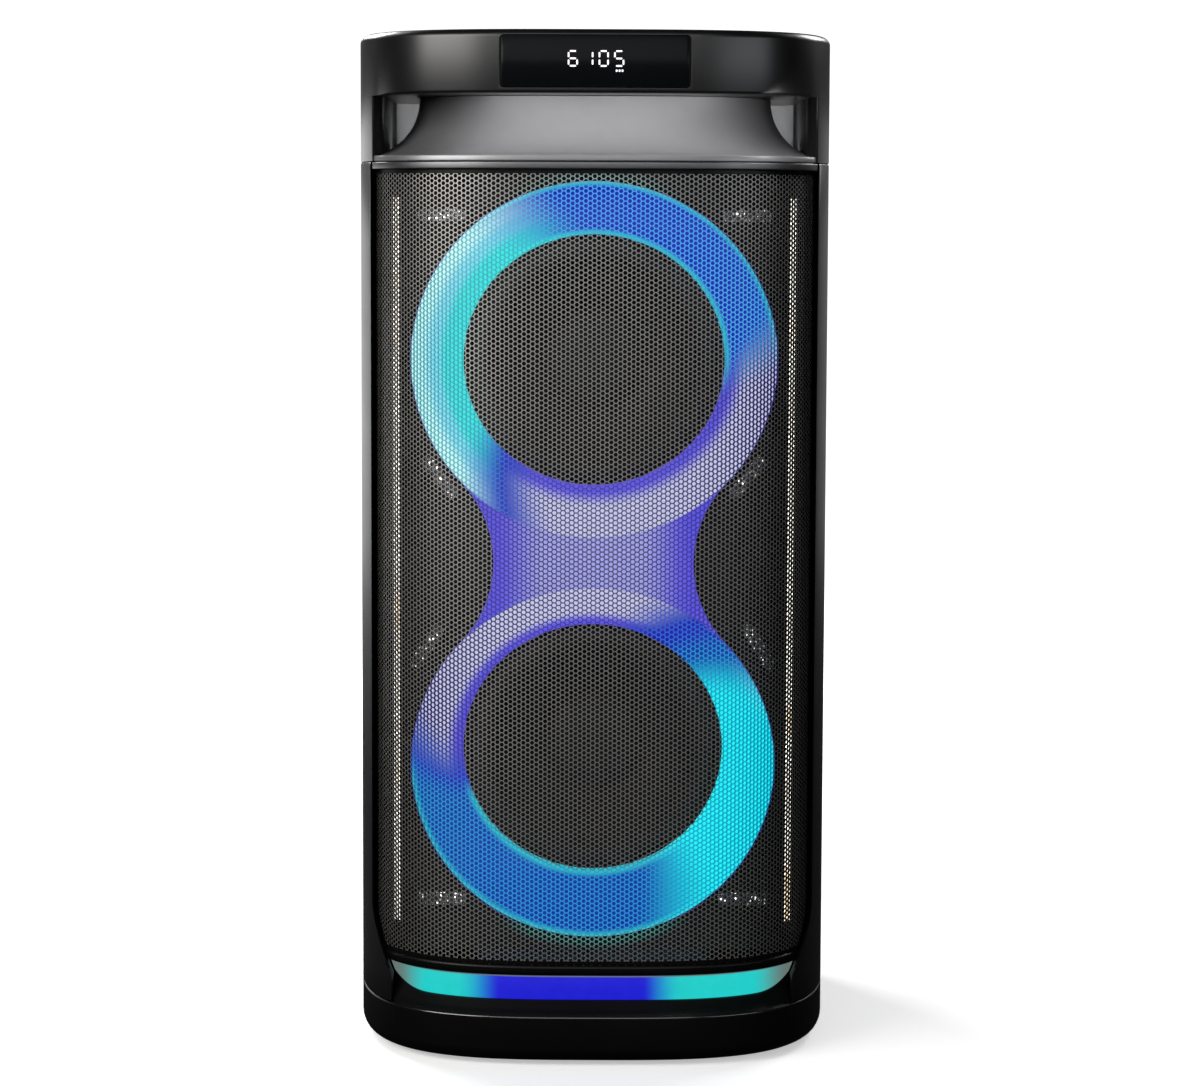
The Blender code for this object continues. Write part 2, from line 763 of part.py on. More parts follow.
# Cabinet shell with the rear panel opening and the port hole
cabinet = wall(0.0, WALL, BASE_TOP + FIT, CABINET_TOP)
cut(cabinet, opening(0.0))
rear_gap = REAR_HALF_WIDTH + FIT
behind = BACK_Y - 2 * CUT
cut(
    cabinet,
    box(-rear_gap, rear_gap, behind, BACK_Y + CUT, REAR_BOTTOM - FIT, REAR_TOP + FIT),
    prism(circle(PORT_MOUTH + FIT, (0, PORT_Z)), "Y", behind, BACK_Y + CUT),
)
node(cabinet, "cabinet_shell", SATIN_BLACK)

# Grille and its trims
grille = wall(GRILLE_INSET, GRILLE_INSET + GRILLE_THICKNESS, GRILLE_BOTTOM, GRILLE_TOP)
common(grille, opening(FIT))
cut(grille, grille_holes())
node(grille, "grille", GRILLE_BLACK)
top_trim = wall(TRIM_INSET, TRIM_INSET + TRIM_DEPTH, GRILLE_TOP + FIT, CABINET_TOP)
node(common(top_trim, opening(FIT)), "grille_top_trim", GLOSS_BLACK)
bottom_trim_back = BOTTOM_TRIM_INSET + TRIM_DEPTH
bottom_trim = loft(
    [
        ring(BOTTOM_TRIM_INSET + BOTTOM_TRIM_LEAN, BOTTOM_TRIM_BOTTOM),
        ring(BOTTOM_TRIM_INSET, BOTTOM_TRIM_TOP),
        ring(bottom_trim_back, BOTTOM_TRIM_TOP),
        ring(bottom_trim_back, BOTTOM_TRIM_BOTTOM),
    ],
    hollow=True,
)
node(common(bottom_trim, opening(FIT)), "grille_bottom_trim", SATIN_BLACK)

# Front baffle, rebated at both sides for the side lights
baffle_side = half_width(BAFFLE_Y, WALL) - SIDE_LIGHT_WIDTH - SIDE_LIGHT_GAP
rebate_y = BAFFLE_BACK - REBATE_THICKNESS
baffle_edge = half_width(rebate_y, WALL) - BAFFLE_GAP
plan = [
    (baffle_side, BAFFLE_Y),
    (baffle_side, rebate_y),
    (baffle_edge, rebate_y),
    (baffle_edge, BAFFLE_BACK),
]
baffle = prism(plan + [(-x, y) for x, y in reversed(plan)], "Z", GRILLE_BOTTOM, GRILLE_TOP)
for z in (UPPER_Z, LOWER_Z):
    hole = circle(THROAT_RADIUS + 2 * FIT, (0, z))
    cut(baffle, prism(hole, "Y", BAFFLE_Y - CUT, BAFFLE_BACK + CUT))
node(baffle, "front_baffle", MATT_BLACK, smooth=False)

# Light ring, its board, side lights and strobes
board_back = BAFFLE_Y - FIT
diffuser = prism(figure_eight(0.0), "Y", RING_FRONT, RING_BACK)
led_board = prism(figure_eight(BOARD_EDGE), "Y", board_back - BOARD_THICKNESS, board_back)
for z in (UPPER_Z, LOWER_Z):
    hole = oval(RING_HOLE_WIDTH, RING_HOLE_HEIGHT, (0, z), 40)
    cut(diffuser, prism(hole, "Y", RING_FRONT - CUT, RING_BACK + CUT))
    hole = circle(RIM_RADIUS + 2 * FIT, (0, z))
    cut(led_board, prism(hole, "Y", RING_FRONT - CUT, RING_BACK + CUT))
node(diffuser, "ring_diffuser", MILKY)
node(led_board, "ring_led_board", BOARD, smooth=False)

for side, sign in (("left", -1), ("right", 1)):
    middle = sign * (baffle_side + FIT + SIDE_LIGHT_WIDTH / 2)
    strip = box(
        middle - SIDE_LIGHT_WIDTH / 2,
        middle + SIDE_LIGHT_WIDTH / 2,
        rebate_y - FIT - SIDE_LIGHT_DEPTH,
        rebate_y - FIT,
        GRILLE_BOTTOM + SIDE_LIGHT_MARGIN,
        GRILLE_TOP - SIDE_LIGHT_MARGIN,
    )
    node(strip, f"side_light_{side}", MILKY, smooth=False)

corner_x = RING_HALF_WIDTH - STROBE_CORNER_INSET
STROBES = (
    ("top", (corner_x, UPPER_Z + RING_HALF_HEIGHT - STROBE_TOP_DROP, 0.0)),
    ("upper", beside_ring(UPPER_Z, UPPER_STROBE_ANGLE)),
    ("lower", beside_ring(LOWER_Z, LOWER_STROBE_ANGLE)),
    ("bottom", (corner_x, LOWER_Z - RING_HALF_HEIGHT + STROBE_BOTTOM_RISE, 0.0)),
)
for level, (x, z, tilt) in STROBES:
    for side, sign in (("left", -1), ("right", 1)):
        centre = (sign * x, z)
        pill = rounded(STROBE_LENGTH, STROBE_WIDTH, STROBE_CORNER, centre)
        pill = turn_points(pill, sign * tilt, centre)
        strobe = prism(pill, "Y", board_back - STROBE_DEPTH, board_back)
        node(strobe, f"strobe_{level}_{side}", CLEAR_LENS)

# Woofers
B = BAFFLE_Y
rim_front = B - FIT - RIM_THICKNESS
rim_hole = SURROUND_RADIUS + RIM_GAP
basket_floor = B + BASKET_DEPTH
coil_in = COIL_RADIUS - COIL_THICKNESS
coil_end = basket_floor + COIL_REACH
groove_end = coil_end + CONE_TRAVEL + GROOVE_ROOM
cone_front = B - CONE_LEAD
cone_neck = cone_front + CONE_DEPTH
cap_share = (CONE_RADIUS - CAP_RADIUS) / (CONE_RADIUS - coil_in)
cap_seat = cone_front + cap_share * CONE_DEPTH - CAP_GAP
cap_inside = (CAP_RADIUS - CAP_THICKNESS) / CAP_RADIUS
roll_middle = CONE_RADIUS + FIT + ROLL_RADIUS
roll_seat = cone_front + ROLL_THICKNESS
window_y = B + (BASKET_THROAT + BASKET_DEPTH - BASKET_PLATE) / 2
for level, z in (("upper", UPPER_Z), ("lower", LOWER_Z)):
    basket = turned(
        [
            (rim_hole, rim_front),
            (RIM_RADIUS, rim_front),
            (RIM_RADIUS, B - FIT),
            (THROAT_RADIUS, B - FIT),
            (THROAT_RADIUS, B + BASKET_THROAT),
            (MAGNET_RADIUS, basket_floor - BASKET_PLATE),
            (MAGNET_RADIUS, basket_floor),
            (COIL_RADIUS + COIL_GAP, basket_floor),
            (COIL_RADIUS + COIL_GAP, basket_floor - BASKET_WALL),
            (MAGNET_RADIUS - BASKET_WALL, basket_floor - BASKET_WALL - BASKET_WALL),
            (THROAT_RADIUS - BASKET_WALL, B + BASKET_THROAT - FIT),
            (THROAT_RADIUS - BASKET_WALL, rim_front + BASKET_WALL),
            (rim_hole, rim_front + BASKET_WALL),
        ],
        "Y",
        (0, z),
    )
    for k in range(BASKET_WINDOWS):
        spin = 2 * math.pi / BASKET_WINDOWS * (k + 0.25)
        corners = rectangle(BASKET_WINDOW_WIDTH, BASKET_WINDOW_LENGTH, (0, window_y))
        rings = []
        for reach in (COIL_RADIUS + COIL_GAP, THROAT_RADIUS + CUT):
            rings.append(
                [
                    (
                        u * math.cos(spin) + reach * math.sin(spin),
                        y,
                        z + reach * math.cos(spin) - u * math.sin(spin),
                    )
                    for u, y in corners
                ]
            )
        cut(basket, loft(rings))
    node(basket, f"{level}_basket", MATT_BLACK)
    magnet = turned(
        [
            (0, basket_floor + POLE_SINK),
            (coil_in - POLE_GAP, basket_floor + POLE_SINK),
            (coil_in - POLE_GAP, groove_end),
            (COIL_RADIUS + POLE_GAP, groove_end),
            (COIL_RADIUS + POLE_GAP, basket_floor + FIT),
            (MAGNET_RADIUS, basket_floor + FIT),
            (MAGNET_RADIUS, groove_end + MAGNET_BACK),
            (0, groove_end + MAGNET_BACK),
        ],
        "Y",
        (0, z),
    )
    node(magnet, f"{level}_magnet", FERRITE)
    cone = turned(
        [
            (CONE_RADIUS, cone_front),
            (coil_in, cone_neck),
            (coil_in, coil_end),
            (COIL_RADIUS, coil_end),
            (COIL_RADIUS, cone_neck + CONE_THICKNESS),
            (CONE_RADIUS, cone_front + CONE_THICKNESS),
        ],
        "Y",
        (0, z),
    )
    node(cone, f"{level}_cone", PAPER, (0, B, z))
    outer = []
    inner = []
    for k in range(CAP_STEPS):
        sweep = math.pi / 2 * k / CAP_STEPS
        radius = CAP_RADIUS * math.cos(sweep)
        height = CAP_HEIGHT * math.sin(sweep)
        outer.append((radius, cap_seat - height))
        inner.append((radius * cap_inside, cap_seat - height * (1 - CAP_THICKNESS / CAP_HEIGHT)))
    cap = turned(
        [(0, cap_seat - CAP_HEIGHT)]
        + list(reversed(outer))
        + inner
        + [(0, cap_seat - CAP_HEIGHT + CAP_THICKNESS)],
        "Y",
        (0, z),
    )
    node(cap, f"{level}_dust_cap", PAPER, (0, B, z))
    roll = []
    for radius, steps in ((ROLL_RADIUS, range(5)), (ROLL_RADIUS - ROLL_THICKNESS, range(4, -1, -1))):
        for k in steps:
            sweep = math.pi * k / 4
            roll.append((roll_middle + radius * math.cos(sweep), roll_seat - radius * math.sin(sweep)))
    node(turned(roll, "Y", (0, z)), f"{level}_surround", RUBBER)

# Neck shroud: a cove between the cabinet and the band, open at the top
cove = RECESS_HEIGHT - NECK_LIP - FIT
neck_base = SHOULDER + NECK_LIP
neck_rings = [ring(TRIM_INSET, SHOULDER), ring(TRIM_INSET, neck_base)]
for degrees in (9, 18, 29, 41, 54, 70, 90):
    sweep = math.radians(degrees)
    neck_rings.append(
        ring(TRIM_INSET + cove * math.sin(sweep), neck_base + cove * (1 - math.cos(sweep)))
    )
neck_rings.append(ring(TRIM_INSET + cove + NECK_WALL, neck_base + cove))
neck_rings.append(ring(TRIM_INSET + cove + NECK_WALL, neck_base))
neck = loft(neck_rings)
common(neck, grip_recess(FIT))
node(neck, "neck_shroud", GLOSS_BLACK)

# Top housing: band, pillars and the back wall of the recess in one moulding
rim_inner = RIM_ROUND + RIM_LIP
shelf_inner = rim_inner + SHELF_WIDTH
housing_rings = [ring(0.0, SHOULDER)]
for k in range(4):
    sweep = math.pi / 2 * k / 3
    drop = RIM_ROUND * (1 - math.sin(sweep))
    housing_rings.append(ring(RIM_ROUND * (1 - math.cos(sweep)), HEIGHT - drop))
housing = loft(
    housing_rings
    + [
        ring(rim_inner, HEIGHT - FIT),
        ring(rim_inner, SHELF),
        ring(shelf_inner, SHELF),
        ring(shelf_inner, SHELF - SHELF_THICKNESS),
        ring(THIN_WALL, SHELF - SHELF_THICKNESS - SHELF_WIDTH),
        ring(THIN_WALL, BAND_FLOOR),
    ]
)
roof = BAND_BOTTOM - RECESS_ROOF
rear_hollow = loft([ring(THIN_WALL, SHOULDER - CUT), ring(THIN_WALL, roof)])
hollow_front = RECESS_BACK_Y + THIN_WALL
common(rear_hollow, box(-HALF_WIDTH, HALF_WIDTH, hollow_front, BACK_Y + CUT, SHOULDER - 2 * CUT, HEIGHT))
window_at = (0, BAND_BOTTOM + BAND_HEIGHT / 2)
window_back = WINDOW_SINK + WINDOW_THICKNESS


def window_block(front, back, gap, corner):
    """The display window's block between two insets, gap larger all round."""
    block = wall(front, back, BAND_BOTTOM, HEIGHT)
    shape = rounded(WINDOW_WIDTH + 2 * gap, WINDOW_HEIGHT + 2 * gap, corner, window_at, 3)
    return common(block, prism(shape, "Y", FRONT_Y - CUT, FRONT_Y + CUT))


slot_side = MODULE_WIDTH / 2 + MODULE_ROOM
slot_back = FRONT_Y + MODULE_SETBACK + MODULE_DEPTH + MODULE_ROOM
module_bottom = BAND_FLOOR + FIT
module_top = SHELF - FIT
cut(
    housing,
    grip_recess(0.0),
    rear_hollow,
    window_block(-WINDOW_THICKNESS, window_back + FIT, FIT, WINDOW_CORNER + FIT),
    box(-slot_side, slot_side, FRONT_Y - CUT, slot_back, module_bottom + MODULE_ROOM, SHELF + FIT / 2),
)
node(housing, "top_housing", GLOSS_BLACK)
node(window_block(WINDOW_SINK, window_back, 0.0, WINDOW_CORNER), "display_window", SMOKED)
module = box(
    -MODULE_WIDTH / 2,
    MODULE_WIDTH / 2,
    FRONT_Y + MODULE_SETBACK,
    FRONT_Y + MODULE_SETBACK + MODULE_DEPTH,
    module_bottom,
    module_top,
)
node(module, "display_module", MATT_BLACK, smooth=False)

# Control panel, buttons and volume knob
panel = loft([ring(rim_inner + FIT, PANEL_BOTTOM), ring(rim_inner + FIT, PANEL_TOP)])
hole = circle(SHAFT_RADIUS + 2 * FIT, (0, CONTROL_Y), SMALL_STEPS)
cut(panel, prism(hole, "Z", PANEL_BOTTOM - CUT, PANEL_TOP + CUT))
BUTTONS = (
    ("power_button", -3),
    ("mode_button", -2),
    ("light_button", -1),
    ("previous_button", 1),
    ("play_button", 2),
    ("next_button", 3),
)
cap_top = PANEL_TOP + BUTTON_TRAVEL + BUTTON_PROUD
cap_edge = BUTTON_RADIUS - BUTTON_BEVEL
flange_radius = BUTTON_RADIUS + BUTTON_FLANGE_EDGE
flange_bottom = BUTTON_FLANGE_TOP - BUTTON_FLANGE
for name, place in BUTTONS:
    x = math.copysign(BUTTON_START + (abs(place) - 1) * BUTTON_STEP, place)
    hole = circle(BUTTON_RADIUS + FIT, (x, CONTROL_Y), SMALL_STEPS)
    cut(panel, prism(hole, "Z", PANEL_BOTTOM - CUT, PANEL_TOP + CUT))
    button = turned(
        [
            (0, flange_bottom),
            (flange_radius, flange_bottom),
            (flange_radius, BUTTON_FLANGE_TOP),
            (BUTTON_RADIUS, BUTTON_FLANGE_TOP),
            (BUTTON_RADIUS, cap_top - BUTTON_BEVEL),
            (cap_edge, cap_top),
            (0, cap_top),
        ],
        "Z",
        (x, CONTROL_Y),
        SMALL_STEPS,
    )
    node(button, name, SATIN_BLACK, (x, CONTROL_Y, PANEL_TOP))
node(panel, "control_panel", SATIN_BLACK, smooth=False)

knob_bottom = PANEL_TOP + FIT
shaft_top = HEIGHT - KNOB_CROWN - FIT
knob = turned(
    [
        (0, HEIGHT - KNOB_CROWN),
        (SHAFT_RADIUS + FIT, HEIGHT - KNOB_CROWN),
        (SHAFT_RADIUS + FIT, knob_bottom),
        (KNOB_RADIUS, knob_bottom),
        (KNOB_RADIUS, HEIGHT - KNOB_BEVEL),
        (KNOB_RADIUS - KNOB_BEVEL, HEIGHT),
        (0, HEIGHT),
    ],
    "Z",
    (0, CONTROL_Y),
)
node(knob, "volume_knob", GLOSS_BLACK, (0, CONTROL_Y, PANEL_TOP))
shaft = prism(circle(SHAFT_RADIUS, (0, CONTROL_Y), SMALL_STEPS), "Z", BOARD_TOP + FIT, shaft_top)
node(shaft, "knob_shaft", STEEL, (0, CONTROL_Y, PANEL_TOP))
encoder_plan = rectangle(ENCODER_WIDTH, ENCODER_WIDTH, (0, CONTROL_Y))
encoder = prism(encoder_plan, "Z", BOARD_TOP + FIT, PANEL_BOTTOM - FIT)
hole = circle(SHAFT_RADIUS + FIT, (0, CONTROL_Y), SMALL_STEPS)
cut(encoder, prism(hole, "Z", BOARD_TOP - CUT, PANEL_BOTTOM + CUT))
node(encoder, "encoder_body", STEEL, smooth=False)

board_side = BUTTON_START + 2 * BUTTON_STEP + BUTTON_RADIUS + CONTROL_BOARD_EDGE
board_plan = rectangle(2 * board_side, CONTROL_BOARD_DEPTH, (0, CONTROL_Y))
control_board = prism(board_plan, "Z", BOARD_TOP - BOARD_THICKNESS, BOARD_TOP)
leg_x = board_side - LEG_INSET
leg_y = CONTROL_BOARD_DEPTH / 2 - LEG_INSET
for x in (-leg_x, leg_x):
    for y in (CONTROL_Y - leg_y, CONTROL_Y + leg_y):
        leg = circle(LEG_RADIUS, (x, y), SMALL_STEPS)
        join(control_board, prism(leg, "Z", BAND_FLOOR + FIT, BOARD_TOP - BOARD_THICKNESS / 2))
node(control_board, "control_board", BOARD, smooth=False)

# Rear panel and its sockets
flange_side = REAR_HALF_WIDTH + REAR_FLANGE_EDGE
flange_low = REAR_BOTTOM - REAR_FLANGE_EDGE
flange_high = REAR_TOP + REAR_FLANGE_EDGE
plate_root = REAR_PLATE_BACK - REAR_FLANGE / 2
rear = box(-REAR_HALF_WIDTH, REAR_HALF_WIDTH, plate_root, REAR_FACE, REAR_BOTTOM, REAR_TOP)
join(rear, box(-flange_side, flange_side, REAR_FLANGE_BACK, REAR_PLATE_BACK, flange_low, flange_high))


def panel_hole(shape):
    cut(rear, prism(shape, "Y", REAR_FLANGE_BACK - CUT, REAR_FACE + CUT))


def flanged(centre, width, height, edge, corner):
    """A socket body that passes through the rear panel, with a collar outside it."""
    panel_hole(rounded(width + 2 * FIT, height + 2 * FIT, corner, centre, 2))
    collar_back = REAR_FACE + FIT
    body = rounded(width, height, corner, centre, 2)
    collar = rounded(width + 2 * edge, height + 2 * edge, corner + edge, centre, 2)
    shape = prism(body, "Y", SOCKET_BACK, collar_back + SOCKET_PROUD / 4)
    return join(shape, prism(collar, "Y", collar_back, SOCKET_FACE))


inlet_at = (INLET_X, LOW_ROW)
inlet = flanged(inlet_at, INLET_WIDTH, INLET_HEIGHT, INLET_EDGE, INLET_CORNER)
inlet_floor = SOCKET_FACE - INLET_DEPTH
inlet_mouth = rounded(INLET_SLOT_WIDTH, INLET_SLOT_HEIGHT, INLET_SLOT_CORNER, inlet_at, 3)
cut(inlet, prism(inlet_mouth, "Y", inlet_floor, SOCKET_FACE + CUT))
for x in (INLET_X - PIN_SPACING / 2, INLET_X + PIN_SPACING / 2):
    pin = circle(PIN_RADIUS, (x, LOW_ROW), 10)
    join(inlet, prism(pin, "Y", inlet_floor - PIN_RADIUS, SOCKET_FACE - PIN_SINK))
node(inlet, "mains_inlet", MATT_BLACK, smooth=False)

rocker_room = ROCKER_RADIUS + ROCKER_GAP
rocker_slot = ROCKER_WIDTH / 2 + FIT
bezel_width = 2 * (rocker_slot + BEZEL_WALL)
bezel_height = 2 * (rocker_room + BEZEL_WALL)
bezel = flanged((SWITCH_X, LOW_ROW), bezel_width, bezel_height, BEZEL_EDGE, BEZEL_WALL)
cut(
    bezel,
    box(
        SWITCH_X - rocker_slot,
        SWITCH_X + rocker_slot,
        ROCKER_Y - rocker_room,
        SOCKET_FACE + CUT,
        LOW_ROW - rocker_room,
        LOW_ROW + rocker_room,
    ),
)
node(bezel, "switch_bezel", MATT_BLACK, smooth=False)
rocker_reach = math.sqrt(ROCKER_RADIUS**2 - ROCKER_FACE**2)
rocker_side = [(ROCKER_FACE, -rocker_reach), (ROCKER_FACE - ROCKER_DISH, 0), (ROCKER_FACE, rocker_reach)]
for k in range(9):
    sweep = math.pi / 2 + math.pi * k / 8
    rocker_side.append((ROCKER_RADIUS * math.cos(sweep), ROCKER_RADIUS * math.sin(sweep)))
rocker_side = turn_points(rocker_side, -ROCKER_TILT, (0, 0))
rocker_plan = [(ROCKER_Y + y, LOW_ROW + z) for y, z in rocker_side]
rocker = prism(rocker_plan, "X", SWITCH_X - ROCKER_WIDTH / 2, SWITCH_X + ROCKER_WIDTH / 2)
node(rocker, "power_rocker", GLOSS_BLACK, (SWITCH_X, ROCKER_Y, LOW_ROW), smooth=False)

usb_at = (INLET_X, MIDDLE_ROW)
usb = flanged(usb_at, USB_WIDTH, USB_HEIGHT, USB_EDGE, USB_CORNER)
usb_mouth = rounded(USB_SLOT_WIDTH, USB_SLOT_HEIGHT, USB_CORNER / 2, usb_at, 2)
cut(usb, prism(usb_mouth, "Y", SOCKET_FACE - USB_DEPTH, SOCKET_FACE + CUT))
node(usb, "usb_port", STEEL, smooth=False)


def jack(name, centre, body, bore):
    """A round socket held by its collar."""
    panel_hole(circle(body + FIT, centre, SMALL_STEPS))
    collar = body + JACK_EDGE
    floor = SOCKET_BACK + JACK_FLOOR
    shape = turned(
        [
            (0, SOCKET_BACK),
            (body, SOCKET_BACK),
            (body, REAR_FACE + FIT),
            (collar, REAR_FACE + FIT),
            (collar, SOCKET_FACE - JACK_BEVEL),
            (collar - JACK_BEVEL, SOCKET_FACE),
            (bore, SOCKET_FACE),
            (bore, floor),
            (0, floor),
        ],
        "Y",
        centre,
        SMALL_STEPS,
    )
    node(shape, name, MATT_BLACK)


jack("line_jack", (SWITCH_X, MIDDLE_ROW), LINE_BODY, LINE_BORE)
jack("microphone_jack_left", (INLET_X, HIGH_ROW), MICROPHONE_BODY, MICROPHONE_BORE)
jack("microphone_jack_right", (SWITCH_X, HIGH_ROW), MICROPHONE_BODY, MICROPHONE_BORE)
node(rear, "rear_panel", SATIN_BLACK, smooth=False)

# Bass port with a flared mouth
mouth_face = BACK_Y - PORT_SINK
flare_end = BACK_Y - WALL - PORT_FLARE
port_end = BACK_Y - PORT_LENGTH
port_outer = PORT_RADIUS + PORT_WALL
port_profile = [
    (PORT_MOUTH, mouth_face),
    (PORT_MOUTH, BACK_Y - WALL),
    (port_outer, flare_end),
    (port_outer, port_end),
    (PORT_RADIUS, port_end),
]
for k in range(5):
    sweep = math.pi / 2 * k / 4
    radius = PORT_RADIUS + (PORT_FLARE - PORT_LIP) * (1 - math.cos(sweep))
    port_profile.append((radius, flare_end + (mouth_face - flare_end) * math.sin(sweep)))
node(turned(port_profile, "Y", (0, PORT_Z)), "bass_port", SATIN_BLACK)

# Electronics
amp_back = SOCKET_BACK - AMP_GAP
amp_side = flange_side - AMP_MARGIN
amp_low = flange_low + AMP_MARGIN
amp_high = flange_high - AMP_MARGIN
amp = box(-amp_side, amp_side, amp_back - BOARD_THICKNESS, amp_back, amp_low, amp_high)
for x in (POST_INSET - amp_side, amp_side - POST_INSET):
    for z in (amp_low + POST_INSET, amp_high - POST_INSET):
        post = circle(POST_RADIUS, (x, z), SMALL_STEPS)
        join(amp, prism(post, "Y", amp_back - BOARD_THICKNESS / 2, REAR_FLANGE_BACK - FIT))
sink_side = ((FIN_COUNT - 1) * FIN_STEP + FIN_THICKNESS) / 2
sink_root = amp_back - BOARD_THICKNESS / 2
comb = [(sink_side, sink_root), (-sink_side, sink_root)]
for k in range(FIN_COUNT):
    left = FIN_STEP * k - sink_side
    right = left + FIN_THICKNESS
    if k:
        comb.append((left, amp_back - SINK_BASE))
    comb += [(left, amp_back - SINK_DEPTH), (right, amp_back - SINK_DEPTH)]
    if k < FIN_COUNT - 1:
        comb.append((right, amp_back - SINK_BASE))
sink_middle = (amp_low + amp_high) / 2
join(amp, prism(comb, "Z", sink_middle - SINK_LENGTH / 2, sink_middle + SINK_LENGTH / 2))
node(amp, "amplifier_board", BOARD, smooth=False)

battery_plan = rounded(BATTERY_WIDTH, BATTERY_DEPTH, BATTERY_CORNER, (0, MIDDLE_Y + BATTERY_SETBACK), 2)
battery_bottom = BASE_FLOOR + FIT
battery = prism(battery_plan, "Z", battery_bottom, battery_bottom + BATTERY_HEIGHT)
node(battery, "battery_pack", PALE_PLASTIC, smooth=False)
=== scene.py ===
"""Party speaker: finished meshes, materials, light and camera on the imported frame.

Lengths are in millimetres until they reach a mesh. X is to the right, Y to the back, Z up.
"""

import math

import bmesh
import bpy
import numpy as np
from mathutils import Euler, Matrix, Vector
from mathutils.geometry import tessellate_polygon


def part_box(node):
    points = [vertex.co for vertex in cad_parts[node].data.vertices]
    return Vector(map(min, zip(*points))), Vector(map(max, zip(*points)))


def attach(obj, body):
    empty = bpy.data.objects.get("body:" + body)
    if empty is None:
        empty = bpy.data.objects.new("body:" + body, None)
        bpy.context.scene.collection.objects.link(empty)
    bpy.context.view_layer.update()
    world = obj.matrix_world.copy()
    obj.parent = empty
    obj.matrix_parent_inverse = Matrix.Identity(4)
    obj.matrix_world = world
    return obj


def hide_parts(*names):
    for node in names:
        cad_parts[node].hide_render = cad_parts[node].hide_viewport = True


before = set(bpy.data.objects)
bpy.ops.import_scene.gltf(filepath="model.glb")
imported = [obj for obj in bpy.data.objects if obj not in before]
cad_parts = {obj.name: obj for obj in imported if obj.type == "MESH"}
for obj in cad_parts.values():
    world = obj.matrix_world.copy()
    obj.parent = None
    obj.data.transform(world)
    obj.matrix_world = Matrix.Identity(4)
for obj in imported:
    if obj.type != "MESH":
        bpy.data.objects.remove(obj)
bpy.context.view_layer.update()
scene = bpy.context.scene
MM = 0.001
QUARTER = math.pi / 2


def span(node):
    """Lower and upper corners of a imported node, in millimetres."""
    low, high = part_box(node)
    return [value / MM for value in low], [value / MM for value in high]


def middle(node):
    """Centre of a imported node's box, in millimetres."""
    return [(low + high) / 2 for low, high in zip(*span(node))]


# Plan shape: half a rounder curve at the front, half a squarer one at the back
base_low, base_high = span("base_shell")
HALF_WIDTH = base_high[0]
FRONT_Y = base_low[1]
BACK_Y = base_high[1]
FRONT_DEPTH = 175.0
MIDDLE_Y = FRONT_Y + FRONT_DEPTH
BACK_DEPTH = BACK_Y - MIDDLE_Y
FRONT_POWER = 3.2
BACK_POWER = 5.0
FIT = 0.4
WALL = 6.0

# Heights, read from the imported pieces
cabinet_low, cabinet_high = span("cabinet_shell")
grille_low, grille_high = span("grille")
trim_low, trim_high = span("grille_bottom_trim")
cap_low, cap_high = span("grille_top_trim")
neck_low, neck_high = span("neck_shroud")
panel_low, panel_high = span("control_panel")
FOOT_HEIGHT = base_low[2]
CABINET_BOTTOM = cabinet_low[2]
CABINET_TOP = cabinet_high[2]
BASE_TOP = CABINET_BOTTOM - FIT
BAR_BOTTOM, BAR_TOP = (corner[2] for corner in span("base_light_bar"))
SHOULDER = neck_low[2]
BAND_BOTTOM = neck_high[2] + FIT
HEIGHT = span("top_housing")[1][2]

# Insets from the plan outline
GRILLE_INSET = 5.0
GRILLE_THICKNESS = 1.2
TRIM_INSET = 0.8
TRIM_DEPTH = 8.2
BOTTOM_TRIM_INSET = 3.8
BAR_INSET = 9.0
BAR_THICKNESS = 5.0
LEDGE_INSET = 10.0
LEDGE_THICKNESS = 3.0
BASE_ROUND = 10.0
BASE_EDGE = 1.6
BASE_FLOOR = FOOT_HEIGHT + 4.6
RIM_ROUND = 5.0
RIM_LIP = 1.2

# Front opening, ledge and grip recess
OPENING_HALF_WIDTH = HALF_WIDTH - 12.0
LEDGE_HALF_WIDTH = HALF_WIDTH - 27.0
LEDGE_RUN = 33.0
LEDGE_CUT = 6.0
LEDGE_POWER = 2.6
FLARE_START = BAR_TOP - 7.0
FLARE_HEIGHT = 47.0
CHEEK_ROUND = 2.6
RECESS_HALF_WIDTH = HALF_WIDTH - 19.0
RECESS_BACK_Y = MIDDLE_Y + 79.2
RECESS_CORNER = 12.0
PILLAR_TIP_Y = FRONT_Y + 68.25
PILLAR_ROUND = 14.0
PILLAR_EDGE = 2.4
NECK_LIP = 4.0
NECK_WALL = 4.0

# Light ring: two ovals joined by a hollow waist
ring_low, ring_high = span("ring_diffuser")
UPPER_Z = middle("upper_cone")[2]
LOWER_Z = middle("lower_cone")[2]
RING_HALF_WIDTH = ring_high[0]
RING_HALF_HEIGHT = ring_high[2] - UPPER_Z
LOWER_OVAL_Z = ring_low[2] + RING_HALF_HEIGHT
RING_MIDDLE = (UPPER_Z + LOWER_OVAL_Z) / 2
RING_BAND = 35.5
HOLE_HALF_WIDTH = RING_HALF_WIDTH - RING_BAND
HOLE_HALF_HEIGHT = RING_HALF_HEIGHT - RING_BAND
RING_WAIST = 67.8
RING_SQUASH = RING_HALF_HEIGHT / RING_HALF_WIDTH
RING_RISE = (UPPER_Z - LOWER_OVAL_Z) / 2 / RING_SQUASH
RING_HOLLOW = (RING_WAIST**2 + RING_RISE**2 - RING_HALF_WIDTH**2) / (2 * (RING_HALF_WIDTH - RING_WAIST))
RING_LEAN = math.atan2(RING_RISE, RING_WAIST + RING_HOLLOW)
WAIST_REACH = RING_SQUASH * RING_HOLLOW * math.sin(RING_LEAN)
RING_FRONT = ring_low[1]
RING_BACK = ring_high[1]
SIDE_LIGHT_X = middle("side_light_right")[0]

